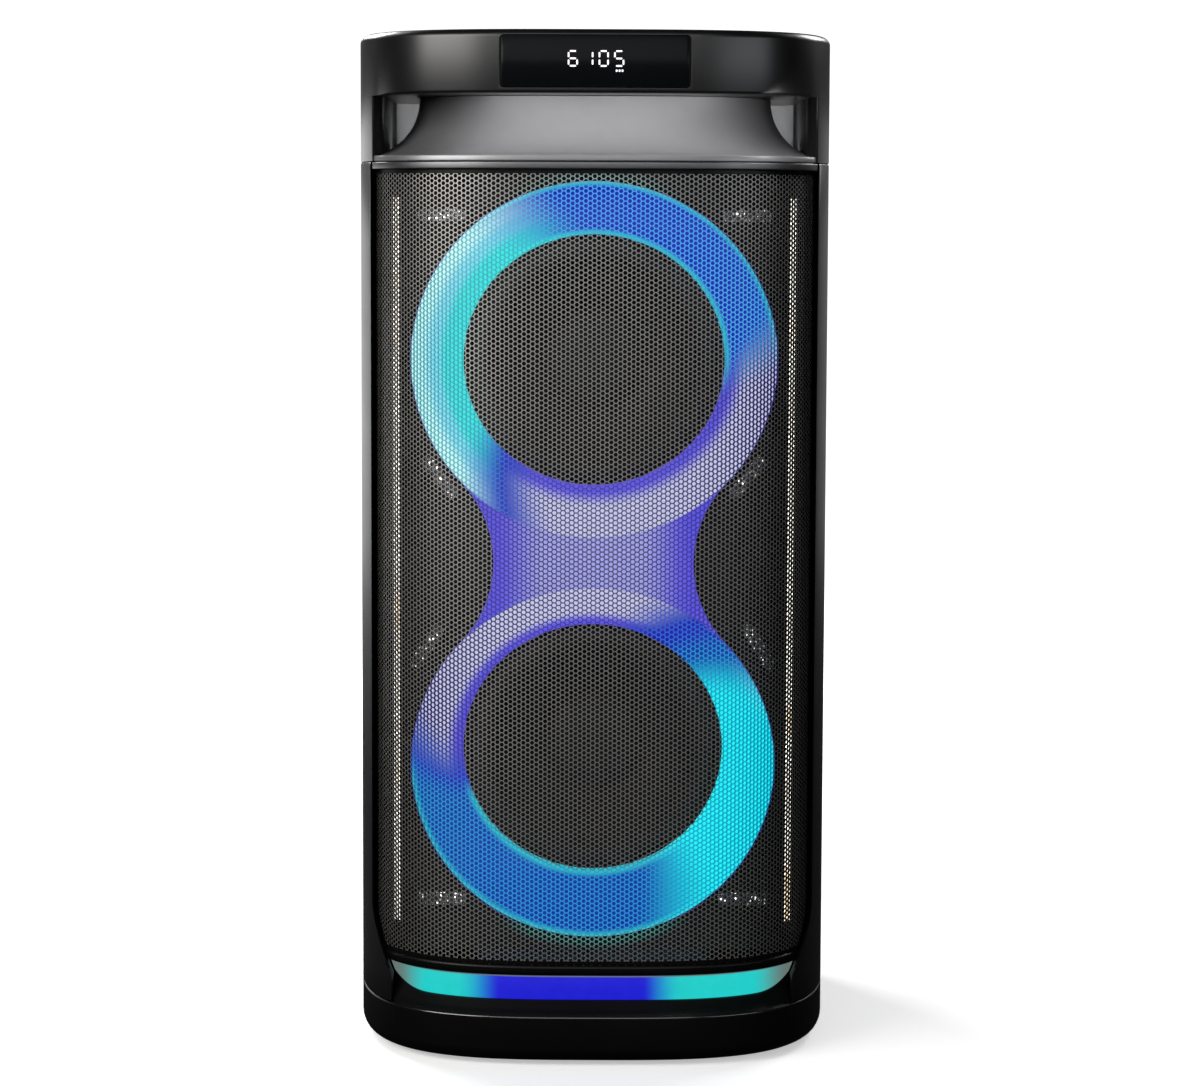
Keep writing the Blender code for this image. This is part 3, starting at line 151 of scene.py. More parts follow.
# Camera: a long lens, a little above the speaker's middle
CAMERA_BACK = 2414.0
CAMERA_HEIGHT = 577.0
CAMERA_PITCH = 5.644
CAMERA_YAW = -0.11
CAMERA_ROLL = 0.22
CAMERA_LENS = 102.0
SENSOR = 36.0

# Node trees


def maths(operation, swapped=False):
    """An operator that adds a Math node to the tree of its wire."""

    def method(self, other=0.0):
        first, second = (other, self) if swapped else (self, other)
        return self.tree.sum(operation, first, second)

    return method


class Wire:
    """One output of a node, which ordinary sums can use."""

    def __init__(self, tree, socket):
        self.tree = tree
        self.socket = socket

    def other(self, output):
        return Wire(self.tree, self.socket.node.outputs[output])

    __add__ = __radd__ = maths("ADD")
    __sub__, __rsub__ = maths("SUBTRACT"), maths("SUBTRACT", True)
    __mul__ = __rmul__ = maths("MULTIPLY")
    __truediv__, __rtruediv__ = maths("DIVIDE"), maths("DIVIDE", True)
    __pow__ = maths("POWER")
    __mod__ = maths("FLOORED_MODULO")
    __gt__, __lt__ = maths("GREATER_THAN"), maths("LESS_THAN")
    __abs__ = maths("ABSOLUTE")


class Tree:
    """A node tree that is written as calls and sums."""

    def __init__(self, node_tree):
        self.node_tree = node_tree

    def node(self, kind, settings=(), values=(), output=0):
        made = self.node_tree.nodes.new(kind)
        for key, value in dict(settings).items():
            setattr(made, key, value)
        for key, value in dict(values).items():
            self.feed(made.inputs[key], value)
        return Wire(self, made.outputs[output]) if made.outputs else made

    def feed(self, socket, value):
        if isinstance(value, Wire):
            self.node_tree.links.new(value.socket, socket)
        else:
            socket.default_value = value

    def sum(self, operation, first, second=0.0):
        return self.node("ShaderNodeMath", {"operation": operation}, {0: first, 1: second})

    def most(self, first, second):
        return self.sum("MAXIMUM", first, second)

    def mix(self, first, second, share):
        return self.node("ShaderNodeMix", {"data_type": "RGBA"}, {0: share, 6: first, 7: second}, 2)

    def tint(self, first, second):
        """One colour multiplied by another."""
        settings = {"data_type": "RGBA", "blend_type": "MULTIPLY"}
        return self.node("ShaderNodeMix", settings, {0: 1.0, 6: first, 7: second}, 2)

    def ease(self, value, start, end):
        """Rises smoothly from 0 to 1 while the value goes from start to end."""
        settings = {"interpolation_type": "SMOOTHSTEP"}
        return self.node("ShaderNodeMapRange", settings, {0: value, 1: start, 2: end})

    def place(self):
        return self.node("ShaderNodeTexCoord", output="Object")

    def facing(self):
        return self.node("ShaderNodeTexCoord", output="Normal")

    def parts(self, vector):
        split = self.node("ShaderNodeSeparateXYZ", (), {0: vector})
        return split, split.other(1), split.other(2)

    def measures(self, vector):
        """A place's three coordinates in millimetres."""
        return [part / MM for part in self.parts(vector)]

    def stretched(self, vector, x, y, z):
        return self.node("ShaderNodeMapping", {}, {"Vector": vector, "Scale": (x, y, z)})

    def noise(self, vector, size, detail=2.0, roughness=0.5):
        """Noise whose features are about size millimetres across."""
        values = {"Vector": vector, "Scale": 1.0 / (size * MM), "Detail": detail}
        values["Roughness"] = roughness
        return self.node("ShaderNodeTexNoise", (), values)

    def cells(self, vector, size, settings=()):
        values = {"Vector": vector, "Scale": 1.0 / (size * MM)}
        return self.node("ShaderNodeTexVoronoi", settings, values)

    def bump(self, height, depth):
        """Relief that is depth millimetres high where the height goes from 0 to 1."""
        return self.node("ShaderNodeBump", (), {"Height": height, "Distance": depth * MM, "Strength": 1.0})

    def shape_of(self, thing):
        return self.node("GeometryNodeObjectInfo", {}, {"Object": thing}, "Geometry")


# Materials
BLACK = (0.0, 0.0, 0.0, 1.0)
LIT = {"Emission Strength": 1.0}


def colour(red, green, blue):
    """A colour from the 0 to 255 values seen on a screen."""
    out = []
    for value in (red, green, blue):
        share = value / 255
        out.append(share / 12.92 if share <= 0.04045 else ((share + 0.055) / 1.055) ** 2.4)
    return (*out, 1.0)


def grey(value):
    return colour(value, value, value)


def scaled(shade, share):
    return (*[share * value for value in shade[:3]], 1.0)


def swing(noise, width):
    """Noise that swings to both sides of nought."""
    return (noise - 0.5) * width


def material(name, fixed=()):
    """Makes a material of fixed shader values and a function that paints the varying ones."""

    def painted(paint):
        made = bpy.data.materials.new(name)
        made.use_nodes = True
        tree = Tree(made.node_tree)
        shader = made.node_tree.nodes["Principled BSDF"]
        for key, value in {**dict(fixed), **paint(tree, tree.place())}.items():
            tree.feed(shader.inputs[key], value)
        return made

    return painted


def plastic(name, shade, roughness, grain, depth, fixed=()):
    """Moulded plastic: a fine grain, soft clouds in the gloss and a little dust."""

    @material(name, fixed)
    def made(tree, at):
        clouds = tree.noise(at, 60.0, 3.0)
        fine = tree.noise(at, grain, 3.0, 0.6)
        dust = tree.ease(tree.noise(at, 1.6, 4.0, 0.7), 0.66, 0.8)
        scratches = tree.ease(tree.noise(tree.stretched(at, 0.15, 1.0, 1.0), 2.0, 4.0, 0.7), 0.62, 0.78)
        base = tree.mix(shade, scaled(shade, 1.35), clouds)
        rough = roughness + swing(clouds, 0.1) + swing(fine, 0.06) + dust * 0.05 + scratches * 0.03
        return {
            "Base Color": tree.mix(base, grey(70), dust * 0.06),
            "Roughness": rough,
            "Normal": tree.bump(fine, depth),
        }

    return made


gloss_black = plastic("gloss black", colour(15, 15, 16), 0.3, 1.2, 0.003, {"Specular IOR Level": 0.8})
satin_black = plastic("satin black", colour(17, 17, 18), 0.4, 0.7, 0.01, {"Specular IOR Level": 0.4})
matt_black = plastic("matt black", colour(20, 20, 21), 0.6, 0.5, 0.03)
rubber_black = plastic("rubber", grey(24), 0.75, 0.4, 0.04)
pale_plastic = plastic("pale plastic", colour(150, 152, 154), 0.45, 0.6, 0.02)


@material("base black", {"Specular IOR Level": 0.22, "Coat Roughness": 0.16, "Coat IOR": 1.9})
def base_black(tree, at):
    """Satin foot of the speaker with a polished line along the edge of its ledge."""
    across, _, up = tree.measures(at)
    clouds = tree.noise(at, 60.0, 3.0)
    fine = tree.noise(at, 0.8, 3.0, 0.6)
    edge = tree.ease(up, BASE_TOP - 2.4, BASE_TOP - 1.4) * tree.ease(up, BASE_TOP + 1.6, BASE_TOP + 0.4)
    return {
        "Base Color": tree.mix(grey(9), grey(13), clouds),
        "Roughness": 0.34 + swing(clouds, 0.1) + swing(fine, 0.06),
        "Coat Weight": edge * tree.ease(abs(across), LEDGE_HALF_WIDTH - 1.0, LEDGE_HALF_WIDTH - 14.0),
        "Normal": tree.bump(fine, 0.006),
    }


@material("grip black", {"Specular IOR Level": 0.4})
def grip_black(tree, at):
    """Satin pillars; the far wall inside the grip is painted light grey, a painted stand-in for the light
    seen in the gap there.
    """
    across, back, _ = tree.measures(at)
    clouds = tree.noise(at, 60.0, 3.0)
    fine = tree.noise(at, 1.2, 3.0, 0.6)
    inside = tree.ease(abs(across), RECESS_HALF_WIDTH + 1.2, RECESS_HALF_WIDTH + 0.4)
    inside = inside * tree.ease(back, RECESS_BACK_Y + 1.2, RECESS_BACK_Y + 0.4)
    dull = inside * tree.ease(back, PILLAR_TIP_Y + 20.0, PILLAR_TIP_Y + 30.0)
    # Painted light: the far wall of the grip recess is painted light grey.
    far = inside * tree.ease(back, RECESS_BACK_Y - 14.0, RECESS_BACK_Y - 9.0)
    black = tree.mix(colour(14, 14, 15), colour(18, 18, 19), clouds)
    return {
        "Base Color": tree.mix(black, tree.mix(colour(120, 120, 122), colour(140, 140, 141), clouds), far),
        "Roughness": 0.34 + swing(clouds, 0.06) + swing(fine, 0.04) + dull * 0.3,
        "Normal": tree.bump(fine, 0.003),
    }


def metal(name, shade, roughness, stretch):
    """Bare metal with drawn lines along one direction."""

    @material(name, {"Metallic": 1.0})
    def made(tree, at):
        lines = tree.noise(tree.stretched(at, *stretch), 0.6, 3.0, 0.6)
        clouds = tree.noise(at, 14.0, 3.0)
        return {
            "Base Color": tree.mix(shade, scaled(shade, 0.6), clouds * 0.6 + lines * 0.2),
            "Roughness": roughness + swing(lines, 0.2) + swing(clouds, 0.15),
            "Normal": tree.bump(lines, 0.01),
        }

    return made


trim_grey = metal("trim grey", colour(136, 136, 138), 0.4, (0.05, 1.0, 1.0))
steel = metal("steel", colour(185, 186, 188), 0.32, (1.0, 1.0, 0.05))
screw_steel = metal("black screw", colour(70, 70, 72), 0.38, (1.0, 0.3, 1.0))


@material("neck grey")
def neck_grey(tree, at):
    """Satin grey cove with a brighter lip at its foot."""
    up = tree.measures(at)[2]
    clouds = tree.noise(at, 14.0, 3.0)
    fine = tree.noise(at, 0.6, 3.0, 0.6)
    lip = tree.ease(up, SHOULDER + NECK_LIP + 0.6, SHOULDER + NECK_LIP - 0.4)
    cove = tree.mix(colour(108, 108, 110), colour(98, 98, 100), clouds * 0.6 + fine * 0.2)
    return {
        "Base Color": tree.mix(cove, colour(150, 150, 152), lip),
        "Roughness": 0.5 + swing(fine, 0.1) + swing(clouds, 0.1) - lip * 0.1,
        "Metallic": 0.3 + lip * 0.4,
        "Normal": tree.bump(fine, 0.01),
    }


@material("ferrite", {"Metallic": 0.35})
def ferrite(tree, at):
    specks = tree.noise(at, 0.8, 4.0, 0.7)
    base = tree.mix(colour(52, 52, 56), colour(84, 82, 82), specks)
    return {"Base Color": base, "Roughness": 0.45 + specks * 0.25, "Normal": tree.bump(specks, 0.05)}


@material("circuit board")
def circuit_board(tree, at):
    tracks = tree.cells(at, 7.0, {"distance": "MANHATTAN", "feature": "F1"})
    lines = tree.ease(abs((tracks * 4.0) % 1.0 - 0.5), 0.1, 0.16)
    pads = tree.ease(tree.cells(at, 5.0), 0.12, 0.09)
    base = tree.mix(colour(24, 92, 58), colour(18, 70, 46), lines)
    base = tree.mix(base, colour(190, 178, 140), pads)
    return {"Base Color": base, "Roughness": 0.42 - pads * 0.12, "Normal": tree.bump(lines, 0.04)}


@material("cone paper")
def cone_paper(tree, at):
    """Pressed paper of the cones: felted fibres and faint rings."""
    across, _, up = tree.measures(at)
    fibres = tree.noise(tree.stretched(at, 1.0, 1.0, 0.25), 1.1, 5.0, 0.7)
    rise = up - UPPER_Z + (up < RING_MIDDLE) * (UPPER_Z - LOWER_Z)
    rings = tree.sum("SINE", (across * across + rise * rise) ** 0.5 * 0.9) * 0.5 + 0.5
    return {
        "Base Color": tree.mix(grey(12), colour(24, 23, 22), fibres),
        "Roughness": 0.62 + fibres * 0.2,
        "Normal": tree.bump(rings * 0.6 + fibres * 0.4, 0.15),
    }


@material("painted board")
def board_wood(tree, at):
    """Painted fibreboard of the baffle."""
    fibres = tree.noise(tree.stretched(at, 0.2, 1.0, 1.0), 1.5, 5.0, 0.65)
    base = tree.mix(grey(8), colour(14, 13, 13), fibres)
    return {"Base Color": base, "Roughness": 0.7 + fibres * 0.15, "Normal": tree.bump(fibres, 0.06)}


def oval_place(tree, across, up, hole_z, oval_z):
    """Turn from twelve o'clock and share across the band for one oval of the ring."""

    def reach(half_width, half_height, centre):
        u, v = across / half_width, (up - centre) / half_height
        return (u * u + v * v) ** 0.5, tree.sum("ARCTAN2", u, v) * (180 / math.pi)

    outer, turn = reach(RING_HALF_WIDTH, RING_HALF_HEIGHT, oval_z)
    inner, _ = reach(HOLE_HALF_WIDTH, HOLE_HALF_HEIGHT, hole_z)
    from_hole = (inner - 1.0) * HOLE_HALF_WIDTH
    from_edge = (1.0 - outer) * RING_HALF_WIDTH
    return turn, from_hole / (from_hole + from_edge)


def round_ring(tree, turn, shown, stops):
    """A colour that changes on the way round: stops are (start, end, colour) in degrees."""
    for start, end, next_colour in stops:
        shown = tree.mix(shown, next_colour, tree.ease(turn, start, end))
    return shown


def ring_colours(tree, across, up, as_painted_glow):
    """What the lit ring shows through the holes, or the painted glow it puts on the metal between them."""
    turn, share = oval_place(tree, across, up, UPPER_Z, UPPER_Z)
    low_turn, low_share = oval_place(tree, across, up, LOWER_Z, LOWER_OVAL_Z)

    # The first colour of each pair is the painted glow on the metal, the second what shows through the
    # holes.
    def pick(painted_glow_on_metal, in_hole):
        return colour(*(painted_glow_on_metal if as_painted_glow else in_hole))

    white = pick((40, 40, 104), (198, 198, 226))
    violet = pick((52, 48, 165), (92, 82, 215))
    blue = pick((64, 158, 232), (2, 16, 168))
    deep = pick((48, 96, 212), (8, 16, 160))
    pale = pick((112, 196, 206), (206, 252, 250))
    sky = pick((86, 186, 212), (126, 218, 234))
    teal = pick((24, 178, 190), (56, 226, 224))
    cyan = pick((0, 176, 208), (30, 244, 248))
    mid = pick((30, 142, 212), (2, 44, 152))
    lilac = pick((40, 42, 108), (162, 162, 222))

    def rimmed(inner, across_band):
        rim = tree.most(tree.ease(across_band, 0.13, 0.03), tree.ease(across_band, 0.88, 0.98))
        return tree.mix(inner, teal, rim * 0.6)

    bright = tree.mix(violet, white, tree.ease(share, 0.1, 0.45))
    left = tree.mix(tree.mix(teal, sky, tree.ease(share, 0.3, 0.55)), pale, tree.ease(share, 0.55, 0.85))
    stops = [(-164.0, -142.0, deep), (-146.0, -122.0, left)]
    stops += [(-46.0, -8.0, rimmed(blue, share)), (78.0, 102.0, bright)]
    upper = round_ring(tree, turn + swing(share, 14.0), bright, stops)

    bright = tree.mix(violet, white, tree.ease(low_share, 0.1, 0.4))
    right = tree.mix(cyan, sky, tree.ease(low_share, 0.6, 1.1) * tree.ease(low_turn, 80.0, 45.0))
    foot = rimmed(mid, low_share)
    stops = [(-104.0, -90.0, deep), (-96.0, -74.0, bright), (10.0, 30.0, deep)]
    stops += [(32.0, 44.0, mid), (44.0, 66.0, right), (128.0, 162.0, foot)]
    lower = round_ring(tree, low_turn - swing(low_share, 12.0), foot, stops)

    bridge = tree.mix(lilac, violet, tree.ease(abs(across), 30.0, 66.0))
    shown = tree.mix(bridge, upper, tree.ease(share, 1.02, 0.97))
    return tree.mix(shown, lower, tree.ease(low_share, 1.02, 0.97)), share, low_share


def glow_place(tree, at):
    """Where the light ring lies behind a place on the grille for someone in front; it places the painted
    glow on the grille.
    """
    across, back, up = tree.measures(at)
    share = (CAMERA_BACK + RING_FRONT) / (CAMERA_BACK + back)
    return across * share, (up - CAMERA_HEIGHT) * share + CAMERA_HEIGHT


def waist(tree, up):
    """Half width of the bridge between the two ovals."""
    off = (up - RING_MIDDLE) / RING_SQUASH
    return RING_WAIST + RING_HOLLOW - tree.most(RING_HOLLOW**2 - off * off, 0.0) ** 0.5


@material("grille black", {"Metallic": 1.0, **LIT})
def grille_black(tree, at):
    """Powder-coated steel with a painted glow of the ring behind it on the metal between the holes, and
    painted shade on the hole walls.
    """
    across, up = glow_place(tree, at)
    shown, share, low_share = ring_colours(tree, across, up, True)
    edge = 0.04

    def within(share):
        return tree.ease(share, -edge, edge) * tree.ease(share, 1.0 + edge, 1.0 - edge)

    def painted_spill(share, far, near, wide, narrow, start, end):
        """Painted glow of light that runs past an oval at its top or foot."""
        out = tree.ease(share, far, near) * tree.ease(share, 0.95, 1.02)
        return out * tree.ease(abs(across), wide, narrow) * tree.ease(up, start, end)

    outside = tree.ease(share, 0.95, 1.0) * tree.ease(low_share, 0.95, 1.0)
    near = tree.ease(abs(up - RING_MIDDLE), WAIST_REACH + 2.0, WAIST_REACH - 2.0)
    bridge = tree.ease(abs(across) - waist(tree, up), 1.5, -1.5) * outside * near
    # Masks of the painted glow: where the ring lies behind the metal, and where its teal light runs past the
    # ovals.
    lit = tree.most(tree.most(within(share), within(low_share)), bridge)
    painted_spill_mask = tree.most(
        painted_spill(share, 1.3, 1.05, 62.0, 34.0, UPPER_Z, HEIGHT),
        painted_spill(low_share, 1.22, 1.03, 70.0, 40.0, LOWER_Z, ring_low[2]),
    )
    painted_glow = tree.mix(tree.mix(BLACK, shown, lit), colour(30, 130, 120), painted_spill_mask * 0.7)
    # Painted shade: the hole walls are painted dark grey against the light metal of the front faces, and the
    # painted glow is dimmed on them.
    painted_hole_shade = tree.ease(abs(tree.parts(tree.facing())[2]), 0.2, 0.4)
    specks = tree.noise(at, 0.35, 3.0, 0.7)
    base = tree.mix(colour(164, 162, 159), colour(182, 180, 176), tree.noise(at, 45.0, 2.0))
    # The base is darkened under the painted glow so that the glow keeps its colour.
    base = tree.mix(base, colour(40, 40, 42), lit * 0.85)
    return {
        "Base Color": tree.mix(base, grey(24), painted_hole_shade),
        "Roughness": 0.44 + specks * 0.14,
        "Normal": tree.bump(specks, 0.03),
        "Emission Color": tree.mix(painted_glow, BLACK, painted_hole_shade * 0.6),
    }


@material("ring light", LIT)
def ring_light(tree, at):
    across, _, up = tree.measures(at)
    shown, _, _ = ring_colours(tree, across, up, False)
    dots = tree.noise(at, 3.0, 2.0)
    return {
        "Base Color": tree.mix(colour(60, 62, 66), colour(80, 82, 86), dots),
        "Roughness": 0.35 + dots * 0.15,
        "Emission Color": tree.tint(shown, tree.mix((0.9, 0.9, 0.9, 1), (1.1, 1.1, 1.1, 1), dots)),
        "Normal": tree.bump(dots, 0.05),
    }


@material("base light", LIT)
def bar_light(tree, at):
    """Milky bar: cyan sides and a blue middle; its dark tips and its top lip glow a painted grey."""
    across, _, up = tree.measures(at)
    cyan, painted_tip_grey = colour(34, 212, 208), colour(105, 122, 118)
    shown = tree.mix(painted_tip_grey, cyan, tree.ease(across, -134.0, -112.0))
    shown = tree.mix(shown, colour(30, 30, 216), tree.ease(across, -92.0, -62.0))
    shown = tree.mix(shown, cyan, tree.ease(across, 34.0, 62.0))
    shown = tree.mix(shown, painted_tip_grey, tree.ease(across, 108.0, 134.0))
    # Painted grey glow along the top lip of the bar.
    shown = tree.mix(shown, colour(110, 118, 118), tree.ease(up, BAR_TOP - 1.6, BAR_TOP - 0.6))
    clouds = tree.noise(at, 9.0, 3.0)
    return {
        "Base Color": tree.mix(colour(14, 16, 16), colour(22, 24, 24), clouds),
        "Roughness": 0.3 + clouds * 0.12,
        "Emission Color": tree.tint(shown, tree.mix((0.85, 0.85, 0.85, 1), (1.0, 1.0, 1.0, 1), clouds)),
        "Normal": tree.bump(clouds, 0.04),
    }


@material("side light", {"Emission Strength": 5.0})
def strip_light(tree, at):
    """Side strips: a row of small lamps, white with warmer stretches."""
    spots = tree.cells(at, 3.2)
    warm = tree.mix(colour(255, 252, 240), colour(255, 232, 196), tree.ease(tree.noise(at, 40.0), 0.5, 0.7))
    line = tree.ease(abs(abs(tree.measures(at)[0]) - SIDE_LIGHT_X), 3.0, 2.0)
    return {
        "Base Color": tree.mix(colour(150, 150, 145), colour(190, 190, 185), spots),
        "Roughness": 0.3 + spots * 0.2,
        "Emission Color": tree.mix(BLACK, warm, (tree.ease(spots, 0.5, 0.12) * 0.6 + 0.35) * line),
        "Normal": tree.bump(spots, 0.1),
    }


@material("strobe lens", {"Emission Strength": 4.0})
def strobe_lens(tree, at):
    """Clear lens with a few bright lamps and grey facets behind it."""
    spots = tree.cells(at, 2.4)
    bright = tree.ease(tree.parts(spots.other(1))[0], 0.55, 0.8)
    lit = tree.ease(spots, 0.42, 0.1) * (bright * 0.9 + 0.08)
    return {
        "Base Color": tree.mix(colour(60, 62, 66), colour(120, 122, 126), spots),
        "Roughness": 0.12 + spots * 0.2,
        "Emission Color": tree.mix(BLACK, colour(255, 252, 246), lit),
        "Normal": tree.bump(spots, 0.3),
    }


@material("smoked window", {"Specular IOR Level": 0.1})
def smoked_window(tree, at):
    smears = tree.ease(tree.noise(tree.stretched(at, 0.4, 1.0, 1.0), 12.0, 4.0), 0.5, 0.8)
    return {
        "Base Color": tree.mix(colour(17, 19, 21), colour(20, 22, 24), smears),
        "Roughness": 0.24 + smears * 0.08,
        "Normal": tree.bump(tree.noise(at, 20.0), 0.004),
    }


@material("lit digits", {"Emission Strength": 1.1})
def digit_light(tree, at):
    dots = tree.noise(at, 0.8, 2.0)
    shown = tree.mix(colour(236, 226, 246), colour(255, 252, 255), dots)
    return {"Base Color": colour(220, 220, 225), "Roughness": 0.4 + dots * 0.1, "Emission Color": shown}


@material("symbol grey")
def symbol_grey(tree, at):
    specks = tree.noise(at, 0.5, 3.0)
    return {"Base Color": tree.mix(colour(120, 122, 124), colour(160, 161, 163), specks), "Roughness": 0.5}


@material("studio white", LIT)
def studio_white(tree, at):
    """White floor that turns into a glowing wall further out."""
    across, back, _ = tree.measures(at)
    wall = tree.ease((across * across + back * back) ** 0.5, 600.0, 2000.0)
    return {
        "Base Color": tree.mix(grey(245), grey(250), tree.noise(at, 260.0, 3.0)),
        "Roughness": 0.7 + tree.noise(at, 4.0, 3.0) * 0.1,
        "Emission Color": tree.mix(grey(182), grey(255), wall),
    }


# Lines in plan


def plan(inset, turns):
    """Points of the plan outline at the given turns from the right-hand side."""
    across, along = np.cos(turns), np.sin(turns)
    power = np.where(along < 0, FRONT_POWER, BACK_POWER)
    depth = np.where(along < 0, FRONT_DEPTH, BACK_DEPTH) - inset
    x = np.sign(across) * np.abs(across) ** (2 / power) * (HALF_WIDTH - inset)
    y = MIDDLE_Y + np.sign(along) * np.abs(along) ** (2 / power) * depth
    return np.stack([x, y], axis=1)


def length_of(points):
    return float(np.linalg.norm(np.diff(points, axis=0), axis=1).sum())


def evenly(points, count):
    """The same line with count points at even steps."""
    steps = np.linalg.norm(np.diff(points, axis=0), axis=1)
    along = np.concatenate([[0.0], np.cumsum(steps)])
    wanted = np.linspace(0.0, along[-1], count)
    return np.stack([np.interp(wanted, along, points[:, k]) for k in range(2)], axis=1)


def edge_turn(inset, edge):
    """Turn below the right-hand side at which the front of the outline is edge wide."""
    return math.acos(min(1.0, edge / (HALF_WIDTH - inset)) ** (FRONT_POWER / 2))


def front_path(inset, edge, count):
    """The outline across the front, from x = -edge to x = edge."""
    turn = edge_turn(inset, edge)
    return evenly(plan(inset, np.linspace(-math.pi + turn, -turn, 3000)), count)


def back_path(inset, edge, count):
    """The outline from the front on the right, round the back, to the front on the left."""
    turn = edge_turn(inset, edge)
    return evenly(plan(inset, np.linspace(-turn, math.pi + turn, 6000)), count)


def whole_path(inset, count):
    return evenly(plan(inset, np.linspace(-QUARTER, 3 * QUARTER, 8000)), count + 1)[:-1]


def front_y(x, inset):
    share = np.clip(np.abs(x) / (HALF_WIDTH - inset), 0, 1)
    return MIDDLE_Y - (FRONT_DEPTH - inset) * (1 - share**FRONT_POWER) ** (1 / FRONT_POWER)


def opening_edge(z):
    """Half width of the front opening at a height."""
    share = min(max((z - FLARE_START) / FLARE_HEIGHT, 0.0), 1.0)
    return LEDGE_HALF_WIDTH + (OPENING_HALF_WIDTH - LEDGE_HALF_WIDTH) * math.sin(QUARTER * share)


def ledge_lift(x):
    """The front ledge sweeps up towards the cheeks."""
    over = np.clip(np.abs(x) - LEDGE_HALF_WIDTH + LEDGE_RUN - LEDGE_CUT, 0.0, LEDGE_RUN)
    return (BAR_TOP - BAR_BOTTOM) * (over / LEDGE_RUN) ** LEDGE_POWER


def bend(start, corner, end, steps):
    """A short curve that leaves out a corner."""
    share = np.linspace(0.0, 1.0, steps + 1)[:, None]
    return (1 - share) ** 2 * start + 2 * share * (1 - share) * corner + share**2 * end


def soften(points, reach, steps=4):
    """Rounds every corner of a closed line, starting reach before it."""
    points = [np.asarray(point, float) for point in points]
    out = []
    for k, corner in enumerate(points):
        before, after = points[k - 1] - corner, points[(k + 1) % len(points)] - corner
        start = corner + before * min(0.45, reach / np.linalg.norm(before))
        end = corner + after * min(0.45, reach / np.linalg.norm(after))
        out.extend(bend(start, corner, end, steps))
    return np.array(out)


def soften_at(points, index, reach, steps=8):
    """Rounds one corner of a closed line of close points."""
    points = np.roll(points, len(points) // 2 - index, axis=0)
    centre = len(points) // 2
    low = high = centre
    while np.linalg.norm(points[low] - points[centre]) < reach:
        low -= 1
    while np.linalg.norm(points[high] - points[centre]) < reach:
        high += 1
    arc = bend(points[low], points[centre], points[high], steps)
    return np.concatenate([points[:low], arc, points[high + 1 :]])


def nearest(points, spot):
    return int(np.argmin(np.linalg.norm(points - spot, axis=1)))


def oval(half_u, half_v, centre, steps=120):
    turns = np.arange(steps) * 2 * math.pi / steps
    return np.stack([centre[0] + half_u * np.cos(turns), centre[1] + half_v * np.sin(turns)], axis=1)


def circle(radius, centre, steps=48):
    return oval(radius, radius, centre, steps)


def rounded(width, height, radius, centre, steps=6):
    """A rectangle with round corners."""
    points = []
    for quarter, (su, sv) in enumerate(((1, 1), (-1, 1), (-1, -1), (1, -1))):
        for k in range(steps + 1):
            turn = QUARTER * (quarter + k / steps)
            u = centre[0] + su * (width / 2 - radius) + radius * math.cos(turn)
            points.append((u, centre[1] + sv * (height / 2 - radius) + radius * math.sin(turn)))
    return np.array(points)


def grown(loop, distance):
    """A closed line moved outwards by a distance."""
    ahead = np.roll(loop, -1, axis=0) - np.roll(loop, 1, axis=0)
    out = np.stack([ahead[:, 1], -ahead[:, 0]], axis=1)
    out /= np.linalg.norm(out, axis=1)[:, None]
    turns = loop[:, 0] * np.roll(loop[:, 1], -1) - np.roll(loop[:, 0], -1) * loop[:, 1]
    return loop + out * (distance if turns.sum() > 0 else -distance)


def level(points, z):
    """Plan points at one height, or at a height for each."""
    return np.column_stack([points, np.broadcast_to(z, len(points))])


# Solid shapes


def linked(name, data):
    """A new object in the scene that holds the data."""
    made = bpy.data.objects.new(name, data)
    scene.collection.objects.link(made)
    return made


def shaped(points, faces):
    """A mesh object from points in millimetres, welded, with its faces outwards."""
    mesh = bpy.data.meshes.new("shape")
    mesh.from_pydata((np.asarray(points, float) * MM).tolist(), [], faces)
    work = bmesh.new()
    work.from_mesh(mesh)
    bmesh.ops.remove_doubles(work, verts=work.verts, dist=1e-7)
    bmesh.ops.recalc_face_normals(work, faces=work.faces)
    work.to_mesh(mesh)
    work.free()
    return linked("shape", mesh)


def skin(rows, round_rows=False, round_columns=True, caps=True):
    """A surface over rows of equal length, closed at its ends."""
    rows = np.asarray(rows, float)
    count, width = rows.shape[:2]
    faces = []
    for i in range(count if round_rows else count - 1):
        low, high = i * width, (i + 1) % count * width
        for j in range(width if round_columns else width - 1):
            k = (j + 1) % width
            faces.append((low + j, low + k, high + k, high + j))
    if caps and not round_rows:
        faces.append(tuple(reversed(range(width))))
        faces.append(tuple(range((count - 1) * width, count * width)))
    if caps and round_rows and not round_columns:
        faces.append(tuple(i * width for i in range(count)))
        faces.append(tuple(i * width + width - 1 for i in reversed(range(count))))
    return shaped(rows.reshape(-1, 3), faces)


def placed(axis, u, v, along):
    return {"Y": (u, along, v), "Z": (u, v, along)}[axis]


def turned(profile, axis, centre, steps):
    """A turned shape; the profile is (radius, position) and closes on the axis or on itself."""
    rings = []
    for turn in np.arange(steps) * 2 * math.pi / steps:
        u, v = math.cos(turn), math.sin(turn)
        rings.append([placed(axis, centre[0] + r * u, centre[1] + r * v, a) for r, a in profile])
    on_axis = abs(profile[0][0]) < 1e-9 and abs(profile[-1][0]) < 1e-9
    return skin(rings, round_rows=True, round_columns=not on_axis, caps=False)


